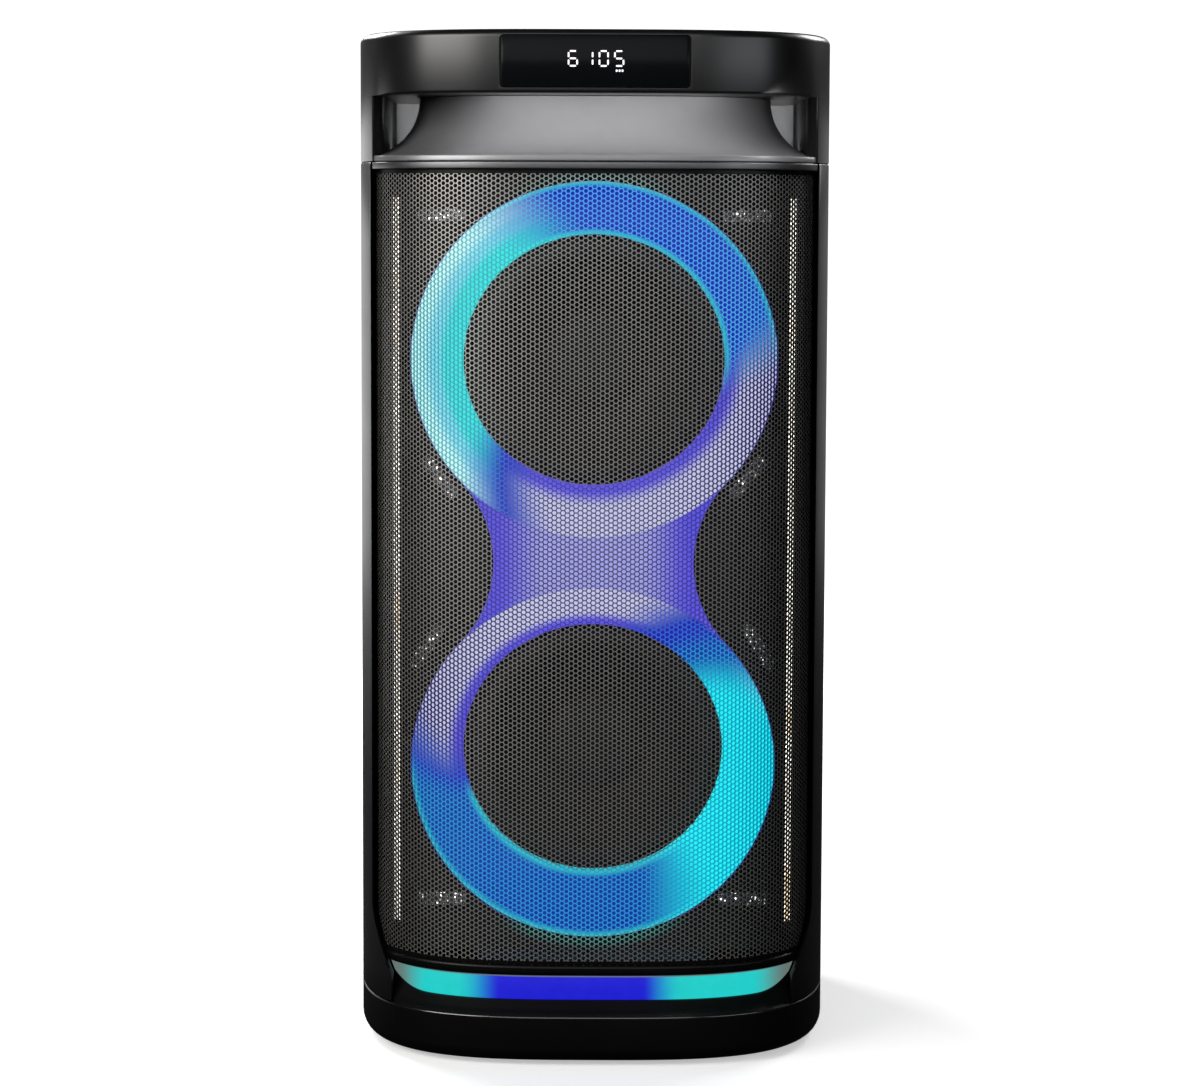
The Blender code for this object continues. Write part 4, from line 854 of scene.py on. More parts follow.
def plate(loops, axis, front, back, edge, steps=3):
    """A flat plate with rounded edges on its front; the loops after the first are holes."""
    way = math.copysign(1.0, back - front)
    points, faces, start = [], [], 0
    front_ends, back_ends = [], []
    for number, loop in enumerate(loops):
        rings = []
        for sweep in np.linspace(0.0, QUARTER, steps + 1):
            inward = edge * (1 - math.sin(sweep))
            ring = grown(loop, -inward if number == 0 else inward)
            along = front + way * edge * (1 - math.cos(sweep))
            rings.append([placed(axis, u, v, along) for u, v in ring])
        rings.append([placed(axis, u, v, back) for u, v in loop])
        width = len(loop)
        for low in range(start, start + (len(rings) - 1) * width, width):
            for j in range(width):
                k = (j + 1) % width
                faces.append((low + j, low + k, low + width + k, low + width + j))
        for ring in rings:
            points.extend(ring)
        front_ends.append(range(start, start + width))
        back_ends.append(range(len(points) - width, len(points)))
        start = len(points)
    flat = {"Y": (0, 2), "Z": (0, 1)}[axis]
    for ends in (front_ends, back_ends):
        order = [k for end in ends for k in end]
        outline = [[(points[k][flat[0]], points[k][flat[1]], 0.0) for k in end] for end in ends]
        faces.extend(tuple(order[k] for k in triangle) for triangle in tessellate_polygon(outline))
    return shaped(points, faces)


def settle(shape):
    """Turns what the modifiers make of a shape into its plain mesh."""
    result = bpy.data.meshes.new_from_object(shape.evaluated_get(bpy.context.evaluated_depsgraph_get()))
    shape.modifiers.clear()
    shape.data = result
    return shape


def carve(body, tool, operation="DIFFERENCE"):
    modifier = body.modifiers.new("carve", "BOOLEAN")
    modifier.solver = "EXACT"
    modifier.operation = operation
    modifier.object = tool
    settle(body)
    bpy.data.objects.remove(tool)
    return body


def even_shading(shape):
    """Keeps a wide flat face looking flat beside its rounded edges."""
    shape.modifiers.new("even shading", "WEIGHTED_NORMAL").keep_sharp = True


def joined(shapes):
    """Several separate shapes as one piece."""
    work = bmesh.new()
    for shape in shapes:
        work.from_mesh(shape.data)
        bpy.data.objects.remove(shape)
    mesh = bpy.data.meshes.new("shape")
    work.to_mesh(mesh)
    work.free()
    return linked("shape", mesh)


def sweep_front(section, gap, count):
    """A bar along the front: the section is (inset, height, share of the ledge's lift)."""
    rows = []
    for inset, z, lift in section:
        path = front_path(inset, opening_edge(z) - gap, count)
        rows.append(level(path, z + lift * ledge_lift(path[:, 0])))
    return skin(rows, round_rows=True, round_columns=False)


def finish(shape, name, look, slot, nodes=(), body="cabinet", sharp=32.0):
    """Names a piece, gives it its material and smooth shading, and puts it on its body."""
    shape.name = name
    mesh = shape.data
    mesh.name = name
    mesh.materials.clear()
    mesh.materials.append(look)
    mesh.polygons.foreach_set("use_smooth", [True] * len(mesh.polygons))
    mesh.polygons.foreach_set("material_index", [0] * len(mesh.polygons))
    mesh.set_sharp_from_angle(angle=math.radians(sharp))
    if nodes:
        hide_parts(*nodes)
    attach(shape, body)


# Shapes that geometry nodes grow
FLOAT, WHOLE, THING, VECTOR = (f"NodeSocket{kind}" for kind in ("Float", "Int", "Object", "Vector"))


def grower(name, inputs, build):
    """A geometry tree with named inputs that ends in plain, painted geometry."""
    group = bpy.data.node_groups.new(name, "GeometryNodeTree")
    group.interface.new_socket("Geometry", in_out="INPUT", socket_type="NodeSocketGeometry")
    for label, kind in {**inputs, "Look": "NodeSocketMaterial"}.items():
        group.interface.new_socket(label, in_out="INPUT", socket_type=kind)
    group.interface.new_socket("Geometry", in_out="OUTPUT", socket_type="NodeSocketGeometry")
    tree = Tree(group)
    given = tree.node("NodeGroupInput").other
    made = tree.node("GeometryNodeRealizeInstances", (), {"Geometry": build(tree, given)})
    made = tree.node("GeometryNodeSetMaterial", (), {"Geometry": made, "Material": given("Look")})
    tree.node("NodeGroupOutput", (), {"Geometry": made})
    return group


def grow(group, values):
    """What a geometry tree makes of the given inputs, as a plain mesh object."""
    made = linked("shape", bpy.data.meshes.new("shape"))
    modifier = made.modifiers.new("grow", "NODES")
    modifier.node_group = group
    for item in group.interface.items_tree:
        if item.item_type == "SOCKET" and item.in_out == "INPUT" and item.name in values:
            modifier[item.identifier] = values[item.name]
    return settle(made)


# Base with its ledge, its feet and the light bar


def make_base():
    side = LEDGE_HALF_WIDTH - FIT

    def ring(inset, z, front_inset, front_z, lift=0.0):
        front = front_path(front_inset, side, 150)
        back = back_path(inset, side + 0.01, 260)
        return np.concatenate([level(front, front_z + lift * ledge_lift(front[:, 0])), level(back, z)])

    rows = []
    for sweep in np.linspace(0.0, QUARTER, 9):
        inset = BASE_ROUND * (1 - math.sin(sweep))
        z = FOOT_HEIGHT + BASE_ROUND * (1 - math.cos(sweep))
        rows.append(ring(inset, z, inset, z))

    def edge(sweep):
        return BASE_EDGE * (1 - math.cos(sweep)), BASE_TOP - BASE_EDGE * (1 - math.sin(sweep))

    for sweep in np.linspace(0.0, QUARTER, 6):
        rows.append(ring(*edge(sweep), *edge(sweep / 2)))
    start, top = edge(QUARTER / 2)[1], BAR_BOTTOM - FIT
    for share in (0.25, 0.5, 0.75, 1.0):
        inset = BASE_EDGE + (LEDGE_INSET - BASE_EDGE) * share
        rows.append(ring(inset, BASE_TOP, inset, start + (top - start) * share, share))
    back = LEDGE_INSET + LEDGE_THICKNESS
    rows.append(ring(back, BASE_TOP, back, top, 1.0))
    rows.append(ring(back, BASE_FLOOR, back, BASE_FLOOR))
    return skin(rows)


finish(make_base(), "base_body", base_black, "satin_black", ["base_shell"])

for end in ("front", "rear"):
    for side in ("left", "right"):
        node = f"foot_{end}_{side}"
        low, high = span(node)
        radius = (high[0] - low[0]) / 2
        profile = [(0, 0), (radius - 5, 0), (radius - 4.4, 0.6), (radius - 3.4, 0.6), (radius - 2.8, 0)]
        profile += [(radius - 1.2, 0), (radius - 0.3, 0.5), (radius, 1.3)]
        profile += [(radius, FOOT_HEIGHT), (0, FOOT_HEIGHT)]
        foot = turned(profile, "Z", middle(node), 64)
        finish(foot, f"foot_pad_{end}_{side}", rubber_black, "rubber", [node])

bar_back = BAR_INSET + BAR_THICKNESS
bar = [
    (BAR_INSET + 0.9, BAR_BOTTOM, 1.0),
    (BAR_INSET + 0.25, BAR_BOTTOM + 0.5, 0.97),
    (BAR_INSET, BAR_BOTTOM + 1.4, 0.9),
    (BAR_INSET, BAR_TOP - 1.2, 0.0),
    (BAR_INSET + 0.25, BAR_TOP - 0.4, 0.0),
    (BAR_INSET + 0.8, BAR_TOP, 0.0),
    (bar_back, BAR_TOP, 0.0),
    (bar_back, BAR_BOTTOM, 1.0),
]
finish(sweep_front(bar, FIT, 200), "light_bar", bar_light, "milky_diffuser", ["base_light_bar"])

# Cabinet shell with its cheeks, and the openings in its back


def cabinet_ring(z, shrink):
    edge = opening_edge(z) + shrink
    outer = back_path(shrink, edge, 300)
    ring = np.concatenate([outer, back_path(WALL - shrink, edge, 260)[::-1]])
    total = len(ring)
    ring = soften_at(ring, len(outer) - 1, CHEEK_ROUND)
    ring = soften_at(ring, nearest(ring, outer[0]), CHEEK_ROUND)
    ring = np.roll(ring, -int(np.argmax(ring[:, 1] + 1e-3 * ring[:, 0])), axis=0)
    return level(evenly(np.concatenate([ring, ring[:1]]), total + 1)[:-1], z)


levels = [(CABINET_BOTTOM, 0.7), (CABINET_BOTTOM + 0.25, 0.25), (CABINET_BOTTOM + 0.8, 0.0)]
levels += [(FLARE_START + FLARE_HEIGHT * k / 14, 0.0) for k in range(15)]
levels += [(FLARE_START + FLARE_HEIGHT + 90.0 * k, 0.0) for k in range(1, 6)]
levels += [(CABINET_TOP - 0.8, 0.0), (CABINET_TOP - 0.25, 0.25), (CABINET_TOP, 0.7)]
cabinet = skin([cabinet_ring(z, shrink) for z, shrink in levels])

rear_low, rear_high = span("rear_panel")
port_low, port_high = span("bass_port")
PORT_Z = middle("bass_port")[2]
PORT_MOUTH = port_high[0]
REAR_FLANGE_EDGE = 7.0
REAR_HALF_WIDTH = rear_high[0] - REAR_FLANGE_EDGE
REAR_BOTTOM = rear_low[2] + REAR_FLANGE_EDGE
REAR_TOP = rear_high[2] - REAR_FLANGE_EDGE
REAR_FACE = rear_high[1]
REAR_MIDDLE = (REAR_BOTTOM + REAR_TOP) / 2
rear_plan = rounded(2 * REAR_HALF_WIDTH, REAR_TOP - REAR_BOTTOM, 3.0, (0.0, REAR_MIDDLE))


def back_cutter(loop, chamfer):
    """A tool that opens the back wall and breaks the edge of the opening."""
    steps = [(0.0, BACK_Y - 40.0), (0.0, BACK_Y - chamfer)]
    steps += [(2 * chamfer, BACK_Y + chamfer), (2 * chamfer, BACK_Y + 10.0)]
    return skin([[(x, y, z) for x, z in grown(loop, out)] for out, y in steps])


carve(cabinet, back_cutter(grown(rear_plan, FIT), 0.8))
carve(cabinet, back_cutter(circle(PORT_MOUTH + FIT, (0, PORT_Z), 96), 0.8))
finish(cabinet, "cabinet_body", satin_black, "satin_black", ["cabinet_shell"])

# Trims above and below the grille


def trim(corners, reach, *names):
    section = [(inset, z, 0.0) for inset, z in soften(corners, reach)]
    finish(sweep_front(section, FIT, 220), *names)


inset, low, high = TRIM_INSET, cap_low[2], cap_high[2]
corners = [(inset, low), (inset, high), (inset + TRIM_DEPTH, high), (inset + TRIM_DEPTH, low)]
trim(corners, 0.9, "trim_above_grille", trim_grey, "gloss_black", ["grille_top_trim"])
inset, low, high = BOTTOM_TRIM_INSET, trim_low[2], trim_high[2]
corners = [(inset + 1.6, low), (inset + 0.2, low + 2.0), (inset, high - 1.6), (inset + 1.2, high)]
corners += [(inset + TRIM_DEPTH, high), (inset + TRIM_DEPTH, low)]
trim(corners, 0.8, "trim_below_grille", base_black, "satin_black", ["grille_bottom_trim"])

# Grille: holes in staggered columns, bent round the front
COLUMN_STEP = 2.9
ROW_STEP = 3.25
HOLE_RADIUS = 1.48
HEM = 2.4
HEM_OVERLAP = 1.0
SHEET_EDGE = 1.2
STRIPS = 4
WELD = 0.02


def perforate(tree, given):
    """Cells in columns on a flat sheet, which is then bent along the path and thickened."""
    rows = given("Rows")
    index = tree.node("GeometryNodeInputIndex")
    column = tree.sum("FLOOR", (index + 0.5) / rows) + given("First column")
    up = given("Bottom") + (index % rows + (column % 2.0) * 0.5) * given("Row step")
    flat = tree.node("ShaderNodeCombineXYZ", (), {0: column * given("Column step"), 2: up})
    points = tree.node("GeometryNodePoints", (), {"Count": given("Columns") * rows, "Position": flat})

    along, _, up = tree.parts(tree.node("GeometryNodeInputPosition"))
    values = {"Curves": tree.shape_of(given("Path")), "Length": along + given("Middle")}
    bent = tree.node("GeometryNodeSampleCurve", {"mode": "LENGTH"}, values, "Position")
    across, back, _ = tree.parts(bent)
    share = tree.sum("MINIMUM", (up - given("Flare start")) / given("Flare height"), 1.0)
    share = tree.sum("SINE", tree.most(share, 0.0) * QUARTER)
    edge = given("Edge low") + (given("Edge high") - given("Edge low")) * share
    outside = tree.most(abs(across) > edge, up > given("Top"))
    values = {"Geometry": points, "Selection": outside}
    kept = tree.node("GeometryNodeDeleteGeometry", {"domain": "POINT"}, values)

    values = {"Points": kept, "Instance": tree.shape_of(given("Cell"))}
    sheet = tree.node("GeometryNodeInstanceOnPoints", (), values)
    sheet = tree.node("GeometryNodeRealizeInstances", (), {"Geometry": sheet})
    sheet = tree.node("GeometryNodeMergeByDistance", (), {"Geometry": sheet, "Distance": WELD * MM})
    curved = tree.node("ShaderNodeCombineXYZ", (), {0: across, 1: back, 2: up})
    sheet = tree.node("GeometryNodeSetPosition", (), {"Geometry": sheet, "Position": curved})
    values = {"Mesh": sheet, "Offset Scale": given("Thickness"), "Individual": False}
    front = tree.node("GeometryNodeExtrudeMesh", {"mode": "FACES"}, values)
    both = tree.node("GeometryNodeJoinGeometry", (), {"Geometry": front})
    tree.feed(both.socket.node.inputs[0], tree.node("GeometryNodeFlipFaces", (), {"Mesh": sheet}))
    return tree.node("GeometryNodeMergeByDistance", (), {"Geometry": both, "Distance": WELD * MM})


measured = ("Column step", "Row step", "Bottom", "Top", "Thickness", "Middle")
measured += ("Edge low", "Edge high", "Flare start", "Flare height")
sheet_inputs = {"Path": THING, "Cell": THING, "First column": WHOLE, "Columns": WHOLE, "Rows": WHOLE}
perforated = grower("perforated sheet", {**sheet_inputs, **dict.fromkeys(measured, FLOAT)}, perforate)


def make_cell():
    """One flat cell of the sheet: a six-sided rim round a six-sided hole, facing the front."""
    side = COLUMN_STEP / 3
    half = ROW_STEP / 2
    rim = [(2 * side, 0.0), (side, half), (-side, half), (-2 * side, 0.0), (-side, -half), (side, -half)]
    corners = rim + circle(HOLE_RADIUS, (0.0, 0.0), 6).tolist()
    mesh = bpy.data.meshes.new("cell")
    faces = [(k, (k + 1) % 6, 6 + (k + 1) % 6, 6 + k) for k in range(6)]
    mesh.from_pydata([(x * MM, 0.0, z * MM) for x, z in corners], [], faces)
    return linked("cell", mesh)


def make_path(points):
    curve = bpy.data.curves.new("path", "CURVE")
    curve.dimensions = "3D"
    line = curve.splines.new("POLY")
    line.points.add(len(points) - 1)
    for spot, (x, y) in zip(line.points, points):
        spot.co = (x * MM, y * MM, 0.0, 1.0)
    return linked("path", curve)


sheet_line = front_path(GRILLE_INSET + GRILLE_THICKNESS, OPENING_HALF_WIDTH - FIT, 600)
half_columns = int(length_of(sheet_line) / 2 / COLUMN_STEP) + 1
columns = 2 * half_columns + 1
lengths = {
    "Column step": COLUMN_STEP,
    "Row step": ROW_STEP,
    "Bottom": grille_low[2] + HEM - HEM_OVERLAP,
    "Top": grille_high[2] - HEM + HEM_OVERLAP,
    "Thickness": GRILLE_THICKNESS,
    "Middle": length_of(sheet_line) / 2,
    "Edge low": LEDGE_HALF_WIDTH - FIT - SHEET_EDGE,
    "Edge high": OPENING_HALF_WIDTH - FIT - SHEET_EDGE,
    "Flare start": FLARE_START,
    "Flare height": FLARE_HEIGHT,
}
values = {name: length * MM for name, length in lengths.items()}
values.update({"Path": make_path(sheet_line), "Cell": make_cell(), "Look": grille_black})
values["Rows"] = int((grille_high[2] - grille_low[2]) / ROW_STEP) + 1
values["First column"] = -half_columns
for number in range(STRIPS):
    values["Columns"] = columns // STRIPS + (1 if number < columns % STRIPS else 0)
    strip = grow(perforated, values)
    finish(strip, f"grille_sheet_{number + 1}", grille_black, "grille_black", ["grille"], sharp=20.0)
    values["First column"] += values["Columns"]
bpy.data.objects.remove(values["Cell"])
bpy.data.objects.remove(values["Path"])


def make_hem():
    """The folded edge that closes the sheet on all four sides."""
    low_z, high_z = grille_low[2], grille_high[2]
    front, back = GRILLE_INSET - 0.3, GRILLE_INSET + GRILLE_THICKNESS + 0.3
    heights = [low_z, *np.linspace(low_z + 4.0, FLARE_START + FLARE_HEIGHT, 10), high_z]
    parts = []
    for sign in (-1, 1):
        rows = []
        for z in heights:
            edge = opening_edge(z) - FIT
            ring = [(edge - HEM, front), (edge, front), (edge, back), (edge - HEM, back)]
            rows.append([(sign * x, front_y(x, inset), z) for x, inset in ring])
        parts.append(skin(rows))
    for z0, z1 in ((low_z, low_z + HEM), (high_z - HEM, high_z)):
        section = [(front, z0, 0.0), (front, z1, 0.0), (back, z1, 0.0), (back, z0, 0.0)]
        parts.append(sweep_front(section, FIT + HEM / 2, 200))
    return joined(parts)


finish(make_hem(), "grille_hem", base_black, "grille_black", ["grille"])

# Light ring


def figure_eight(ring_steps=90, waist_steps=30):
    flat = []
    for half in (1, -1):
        for turn in np.linspace(-RING_LEAN, math.pi + RING_LEAN, ring_steps + 1):
            u, v = RING_HALF_WIDTH * math.cos(turn), RING_HALF_WIDTH * math.sin(turn)
            flat.append((half * u, half * (RING_RISE + v)))
        for turn in np.linspace(RING_LEAN, -RING_LEAN, waist_steps + 1)[1:-1]:
            x = -RING_WAIST - RING_HOLLOW + RING_HOLLOW * math.cos(turn)
            flat.append((half * x, half * RING_HOLLOW * math.sin(turn)))
    return np.array([(x, RING_MIDDLE + RING_SQUASH * z) for x, z in flat])


holes = [oval(HOLE_HALF_WIDTH, HOLE_HALF_HEIGHT, (0, z)) for z in (UPPER_Z, LOWER_Z)]
ring = plate([figure_eight()] + holes, "Y", RING_FRONT, RING_BACK, 1.4)
finish(ring, "light_ring", ring_light, "milky_diffuser", ["ring_diffuser"])
ring.visible_glossy = False

# Woofers, on their own bodies
COIL_RADIUS = 24.0
COIL_WALL = 1.4
CONE_DEPTH = 42.6
CONE_THICKNESS = 2.2
ROLL_WIDTH = 15.0
ROLL_THICKNESS = 1.2


def woofer(name, z):
    def spun(profile, piece, look, slot, node, body="cabinet"):
        finish(turned(profile, "Y", (0, z), 96), f"{name}_{piece}", look, slot, [f"{name}_{node}"], body)

    low, high = span(f"{name}_cone")
    radius, front, back = high[0], low[1], high[1]
    shares = np.linspace(0.0, 1.0, 15)
    inner = [(radius + (COIL_RADIUS - radius) * share, front + CONE_DEPTH * share) for share in shares]
    outer = [(r, y + CONE_THICKNESS) for r, y in inner]
    tube = COIL_RADIUS + COIL_WALL
    coil = [(COIL_RADIUS, back), (tube, back), (tube, front + CONE_DEPTH + CONE_THICKNESS)]
    spun(inner + coil + outer[-2::-1], "cone_paper", cone_paper, "cone_paper", "cone", f"{name}_cone")

    low, high = span(f"{name}_dust_cap")
    radius, seat = high[0], high[1]
    tall = seat - low[1]
    sweeps = np.linspace(0.0, QUARTER, 13)[:-1]
    outer = [(radius * math.cos(sweep), seat - tall * math.sin(sweep)) for sweep in sweeps]
    inner = [(radius * 0.962 * math.cos(sweep), seat - tall * 0.9 * math.sin(sweep)) for sweep in sweeps]
    profile = [(0.0, seat - tall)] + outer[::-1] + inner + [(0.0, seat - tall * 0.9)]
    spun(profile, "cap", cone_paper, "cone_paper", "dust_cap", f"{name}_cone")

    low, high = span(f"{name}_surround")
    seat, size = high[1], high[1] - low[1]
    roll = []
    sweeps = np.linspace(0, math.pi, 17)
    for r, sweeps in ((size, sweeps), (size - ROLL_THICKNESS, sweeps[::-1])):
        roll += [(high[0] - ROLL_WIDTH / 2 + r * math.cos(a), seat - r * math.sin(a)) for a in sweeps]
    spun(roll, "roll", rubber_black, "rubber", "surround")


woofer("upper", UPPER_Z)
woofer("lower", LOWER_Z)

# Neck: a satin cove between the cabinet and the band


def recess_plan(gap):
    """Plan of the grip recess, from the right-hand front round its back to the left-hand front."""
    side, back = RECESS_HALF_WIDTH - gap, RECESS_BACK_Y - gap
    right = []
    for share in np.linspace(1.0, 0.0, 25):
        right.append((side + PILLAR_ROUND * share**2, PILLAR_TIP_Y + PILLAR_ROUND * (1 - 2 * share)))
    for sweep in np.linspace(0.0, QUARTER, 13):
        off, short = RECESS_CORNER * (1 - math.cos(sweep)), RECESS_CORNER * (1 - math.sin(sweep))
        right.append((side - off, back - short))
    return np.array(right + [(-x, y) for x, y in reversed(right)])


def make_neck():
    cove = neck_high[2] - SHOULDER - NECK_LIP
    foot = SHOULDER + NECK_LIP
    profile = [(TRIM_INSET + 0.5, SHOULDER), (TRIM_INSET, SHOULDER + 0.6), (TRIM_INSET, foot - 1.1)]
    profile += [(TRIM_INSET + 0.3, foot - 0.35), (TRIM_INSET + 1.0, foot)]
    for sweep in np.radians(np.linspace(5, 90, 24)):
        profile.append((TRIM_INSET + cove * math.sin(sweep), foot + cove * (1 - math.cos(sweep))))
    profile += [(TRIM_INSET + cove + NECK_WALL, foot + cove), (TRIM_INSET + cove + NECK_WALL, foot)]
    neck = skin([level(whole_path(inset, 360), z) for inset, z in profile])
    ahead = HALF_WIDTH + 30.0, FRONT_Y - 20.0
    loop = np.concatenate([[ahead], recess_plan(FIT), [(-ahead[0], ahead[1])]])
    return carve(neck, skin([level(loop, SHOULDER - 5.0), level(loop, BAND_BOTTOM + 5.0)]), "INTERSECT")


finish(make_neck(), "neck_cove", neck_grey, "gloss_black", ["neck_shroud"])

# Top housing: the pillars with the back of the recess, and the band above them


def make_pillars():
    recess = recess_plan(0.0)
    off = np.abs(recess[:, 0])
    recess = recess[(recess[:, 1] > front_y(off, 0.0)) & (off < HALF_WIDTH)]
    outer = back_path(0.0, recess[0][0], 300)
    ring = np.concatenate([outer, recess[::-1]])
    ring = soften_at(ring, len(outer) - 1, PILLAR_EDGE)
    ring = soften_at(ring, nearest(ring, outer[0]), PILLAR_EDGE)
    steps = ((-0.6, SHOULDER), (-0.2, SHOULDER + 0.25), (0.0, SHOULDER + 0.7), (0.0, BAND_BOTTOM))
    return skin([level(grown(ring, out), z) for out, z in steps])


finish(make_pillars(), "grip_frame", grip_black, "gloss_black", ["top_housing"])

window_low, window_high = span("display_window")
WINDOW_CORNER = 2.6
WINDOW_SINK = 0.5
WINDOW_THICKNESS = 3.1
WINDOW_GAP = 0.35
BAND_EDGE = 2.2
BAND_EDGE_HALF_WIDTH = 146.0
BAND_EDGE_FADE = 8.0
BAND_EDGE_BACK = -80.0
BAND_WALL = 5.0
SHELF = 2.8


def window_block(front, back, gap, bevel, corner):
    """A block behind the front of the band, with rounded corners and a broken front edge."""
    half, low, high = window_high[0] + gap, window_low[2] - gap, window_high[2] + gap
    end = half - corner + corner * np.sin(np.linspace(QUARTER, 0.0, 9))
    xs = np.concatenate([-end, np.linspace(-half + corner, half - corner, 60)[1:-1], end[::-1]])
    over = np.clip(np.abs(xs) - (half - corner), 0.0, corner)
    cut = corner - np.sqrt(np.maximum(corner**2 - over**2, 0.0))
    rows = []
    for x, c in zip(xs, cut):
        top, foot = high - c, low + c
        ring = [(front, foot + bevel), (front, top - bevel), (front + bevel, top), (back, top)]
        ring += [(back, foot), (front + bevel, foot)]
        rows.append([(x, front_y(x, inset), z) for inset, z in ring])
    return skin(rows)


def make_band():
    count = 400
    plain = whole_path(0.0, count)
    weight = np.clip((BAND_EDGE_HALF_WIDTH - np.abs(plain[:, 0])) / BAND_EDGE_FADE, 0.0, 1.0)
    weight = weight * (plain[:, 1] < BAND_EDGE_BACK)
    rows = []
    for k, sweep in enumerate(np.linspace(0.0, QUARTER, 6)):
        inner = whole_path(BAND_EDGE * (1 - math.sin(sweep)), count)
        rise = weight * BAND_EDGE * (1 - math.cos(sweep)) + (1 - weight) * 0.02 * k
        rows.append(level(plain + (inner - plain) * weight[:, None], BAND_BOTTOM + rise))
    rim, shelf = RIM_ROUND + RIM_LIP, panel_low[2] - FIT
    profile = []
    for sweep in np.linspace(0.0, QUARTER, 9):
        profile.append((RIM_ROUND * (1 - math.cos(sweep)), HEIGHT - RIM_ROUND * (1 - math.sin(sweep))))
    profile += [(rim - 0.3, HEIGHT - 0.1), (rim, HEIGHT - 0.5), (rim, shelf), (rim + SHELF, shelf)]
    profile += [(rim + SHELF, shelf - 3.0), (BAND_WALL, shelf - 5.8), (BAND_WALL, BAND_BOTTOM + 3.8)]
    band = skin(rows + [level(whole_path(inset, count), z) for inset, z in profile])
    back = WINDOW_SINK + WINDOW_THICKNESS + FIT
    return carve(band, window_block(-6.0, back, WINDOW_GAP, 0.0, WINDOW_CORNER + WINDOW_GAP))


finish(make_band(), "top_band", gloss_black, "gloss_black", ["top_housing"])
window = window_block(WINDOW_SINK, WINDOW_SINK + WINDOW_THICKNESS, 0.0, 0.45, WINDOW_CORNER)
finish(window, "display_glass", smoked_window, "smoked_window", ["display_window"], sharp=50.0)

# Seven-segment digits and three dots, just in front of the glass
DIGITS = "6105"
DIGIT_HEIGHT = 9.6
DIGIT_WIDTH = 5.6
DIGIT_STEP = 10.1
DIGIT_MIDDLE = middle("display_window")[2] + 1.7
DIGIT_CENTRE = 0.5
DIGIT_RAISE = 0.1
SEGMENT = 1.1
SEGMENT_GAP = 0.2
SEGMENTS = {"0": "abcdef", "1": "bc", "5": "afgcd", "6": "afgedc"}
DOT_STEP = 1.9


def make_digits():
    parts = []

    def chip(x, z, half_x, half_z):
        corners = [(half_x, half_z), (-half_x, half_z), (-half_x, -half_z), (half_x, -half_z)]
        corners = soften(corners, 0.45, 3)
        rows = []
        for inset in (WINDOW_SINK - DIGIT_RAISE, WINDOW_SINK):
            rows.append([(x + u, front_y(x + u, inset), z + v) for u, v in corners])
        parts.append(skin(rows))

    w, h, t = DIGIT_WIDTH / 2, DIGIT_HEIGHT / 2, SEGMENT / 2
    bars = {"a": (0, h, 1), "g": (0, 0, 1), "d": (0, -h, 1)}
    bars.update({"b": (w, h / 2, 0), "c": (w, -h / 2, 0), "f": (-w, h / 2, 0), "e": (-w, -h / 2, 0)})
    for number, digit in enumerate(DIGITS):
        centre = DIGIT_CENTRE + (number - (len(DIGITS) - 1) / 2) * DIGIT_STEP
        for name in SEGMENTS[digit]:
            x, z, flat = bars[name]
            half_x, half_z = (w - t - SEGMENT_GAP, t) if flat else (t, h / 2 - t - SEGMENT_GAP)
            chip(centre + x, DIGIT_MIDDLE + z, half_x, half_z)
    for k in range(3):
        chip(centre - 1.6 + DOT_STEP * k, DIGIT_MIDDLE - h - 3.1, 0.6, 0.75)
    return joined(parts)


finish(make_digits(), "display_digits", digit_light, "milky_diffuser")

# Top panel and buttons
CONTROL_Y = middle("volume_knob")[1]
BUTTONS = ("power_button", "mode_button", "light_button", "previous_button", "play_button", "next_button")
BUTTON_RADIUS = 9.0
SHAFT_HOLE = 3.8
panel_holes = [circle(BUTTON_RADIUS + FIT, (middle(name)[0], CONTROL_Y)) for name in BUTTONS]
panel_holes.append(circle(SHAFT_HOLE, (0, CONTROL_Y), 32))
panel_loop = whole_path(RIM_ROUND + RIM_LIP + FIT, 260)
panel = plate([panel_loop] + panel_holes, "Z", panel_high[2], panel_low[2], 0.5)
even_shading(panel)
finish(panel, "top_panel", satin_black, "satin_black", ["control_panel"])

for name in BUTTONS:
    low, high = span(name)
    flange, top, r = (high[0] - low[0]) / 2, high[2], BUTTON_RADIUS
    under = panel_low[2] - FIT
    profile = [(0, low[2]), (flange, low[2]), (flange, under), (r, under), (r, top - 1.0)]
    profile += [(r - 0.3, top - 0.3), (r - 1.0, top), (r - 2.4, top - 0.15), (r - 4.5, top - 0.5)]
    profile += [(0, top - 0.6)]
    cap = turned(profile, "Z", (middle(name)[0], CONTROL_Y), 64)
    finish(cap, f"{name}_cap", satin_black, "satin_black", [name], name)


def make_mark(name, loops):
    """Raised outlines on a button's dish."""
    top = span(name)[1][2]
    spot = np.array([middle(name)[0], CONTROL_Y])
    parts = [plate([np.array(loop, float) + spot], "Z", top - 0.05, top - 0.65, 0.1, 2) for loop in loops]
    finish(joined(parts), f"{name}_mark", symbol_grey, "satin_black", (), name)


def arrow(x, way):
    return [(x - way * 1.2, -2.0), (x + way * 1.8, 0.0), (x - way * 1.2, 2.0)][::way]


make_mark("play_button", [arrow(0.0, 1)])
make_mark("next_button", [arrow(-1.4, 1), arrow(1.5, 1)])
make_mark("previous_button", [arrow(1.4, -1), arrow(-1.5, -1)])
make_mark("power_button", [[(-0.35, -1.2), (0.35, -1.2), (0.35, 2.8), (-0.35, 2.8)]])
make_mark("mode_button", [circle(1.9, (0, 0), 24)])
make_mark("light_button", [rounded(3.4, 3.4, 0.8, (0, 0), 3)])

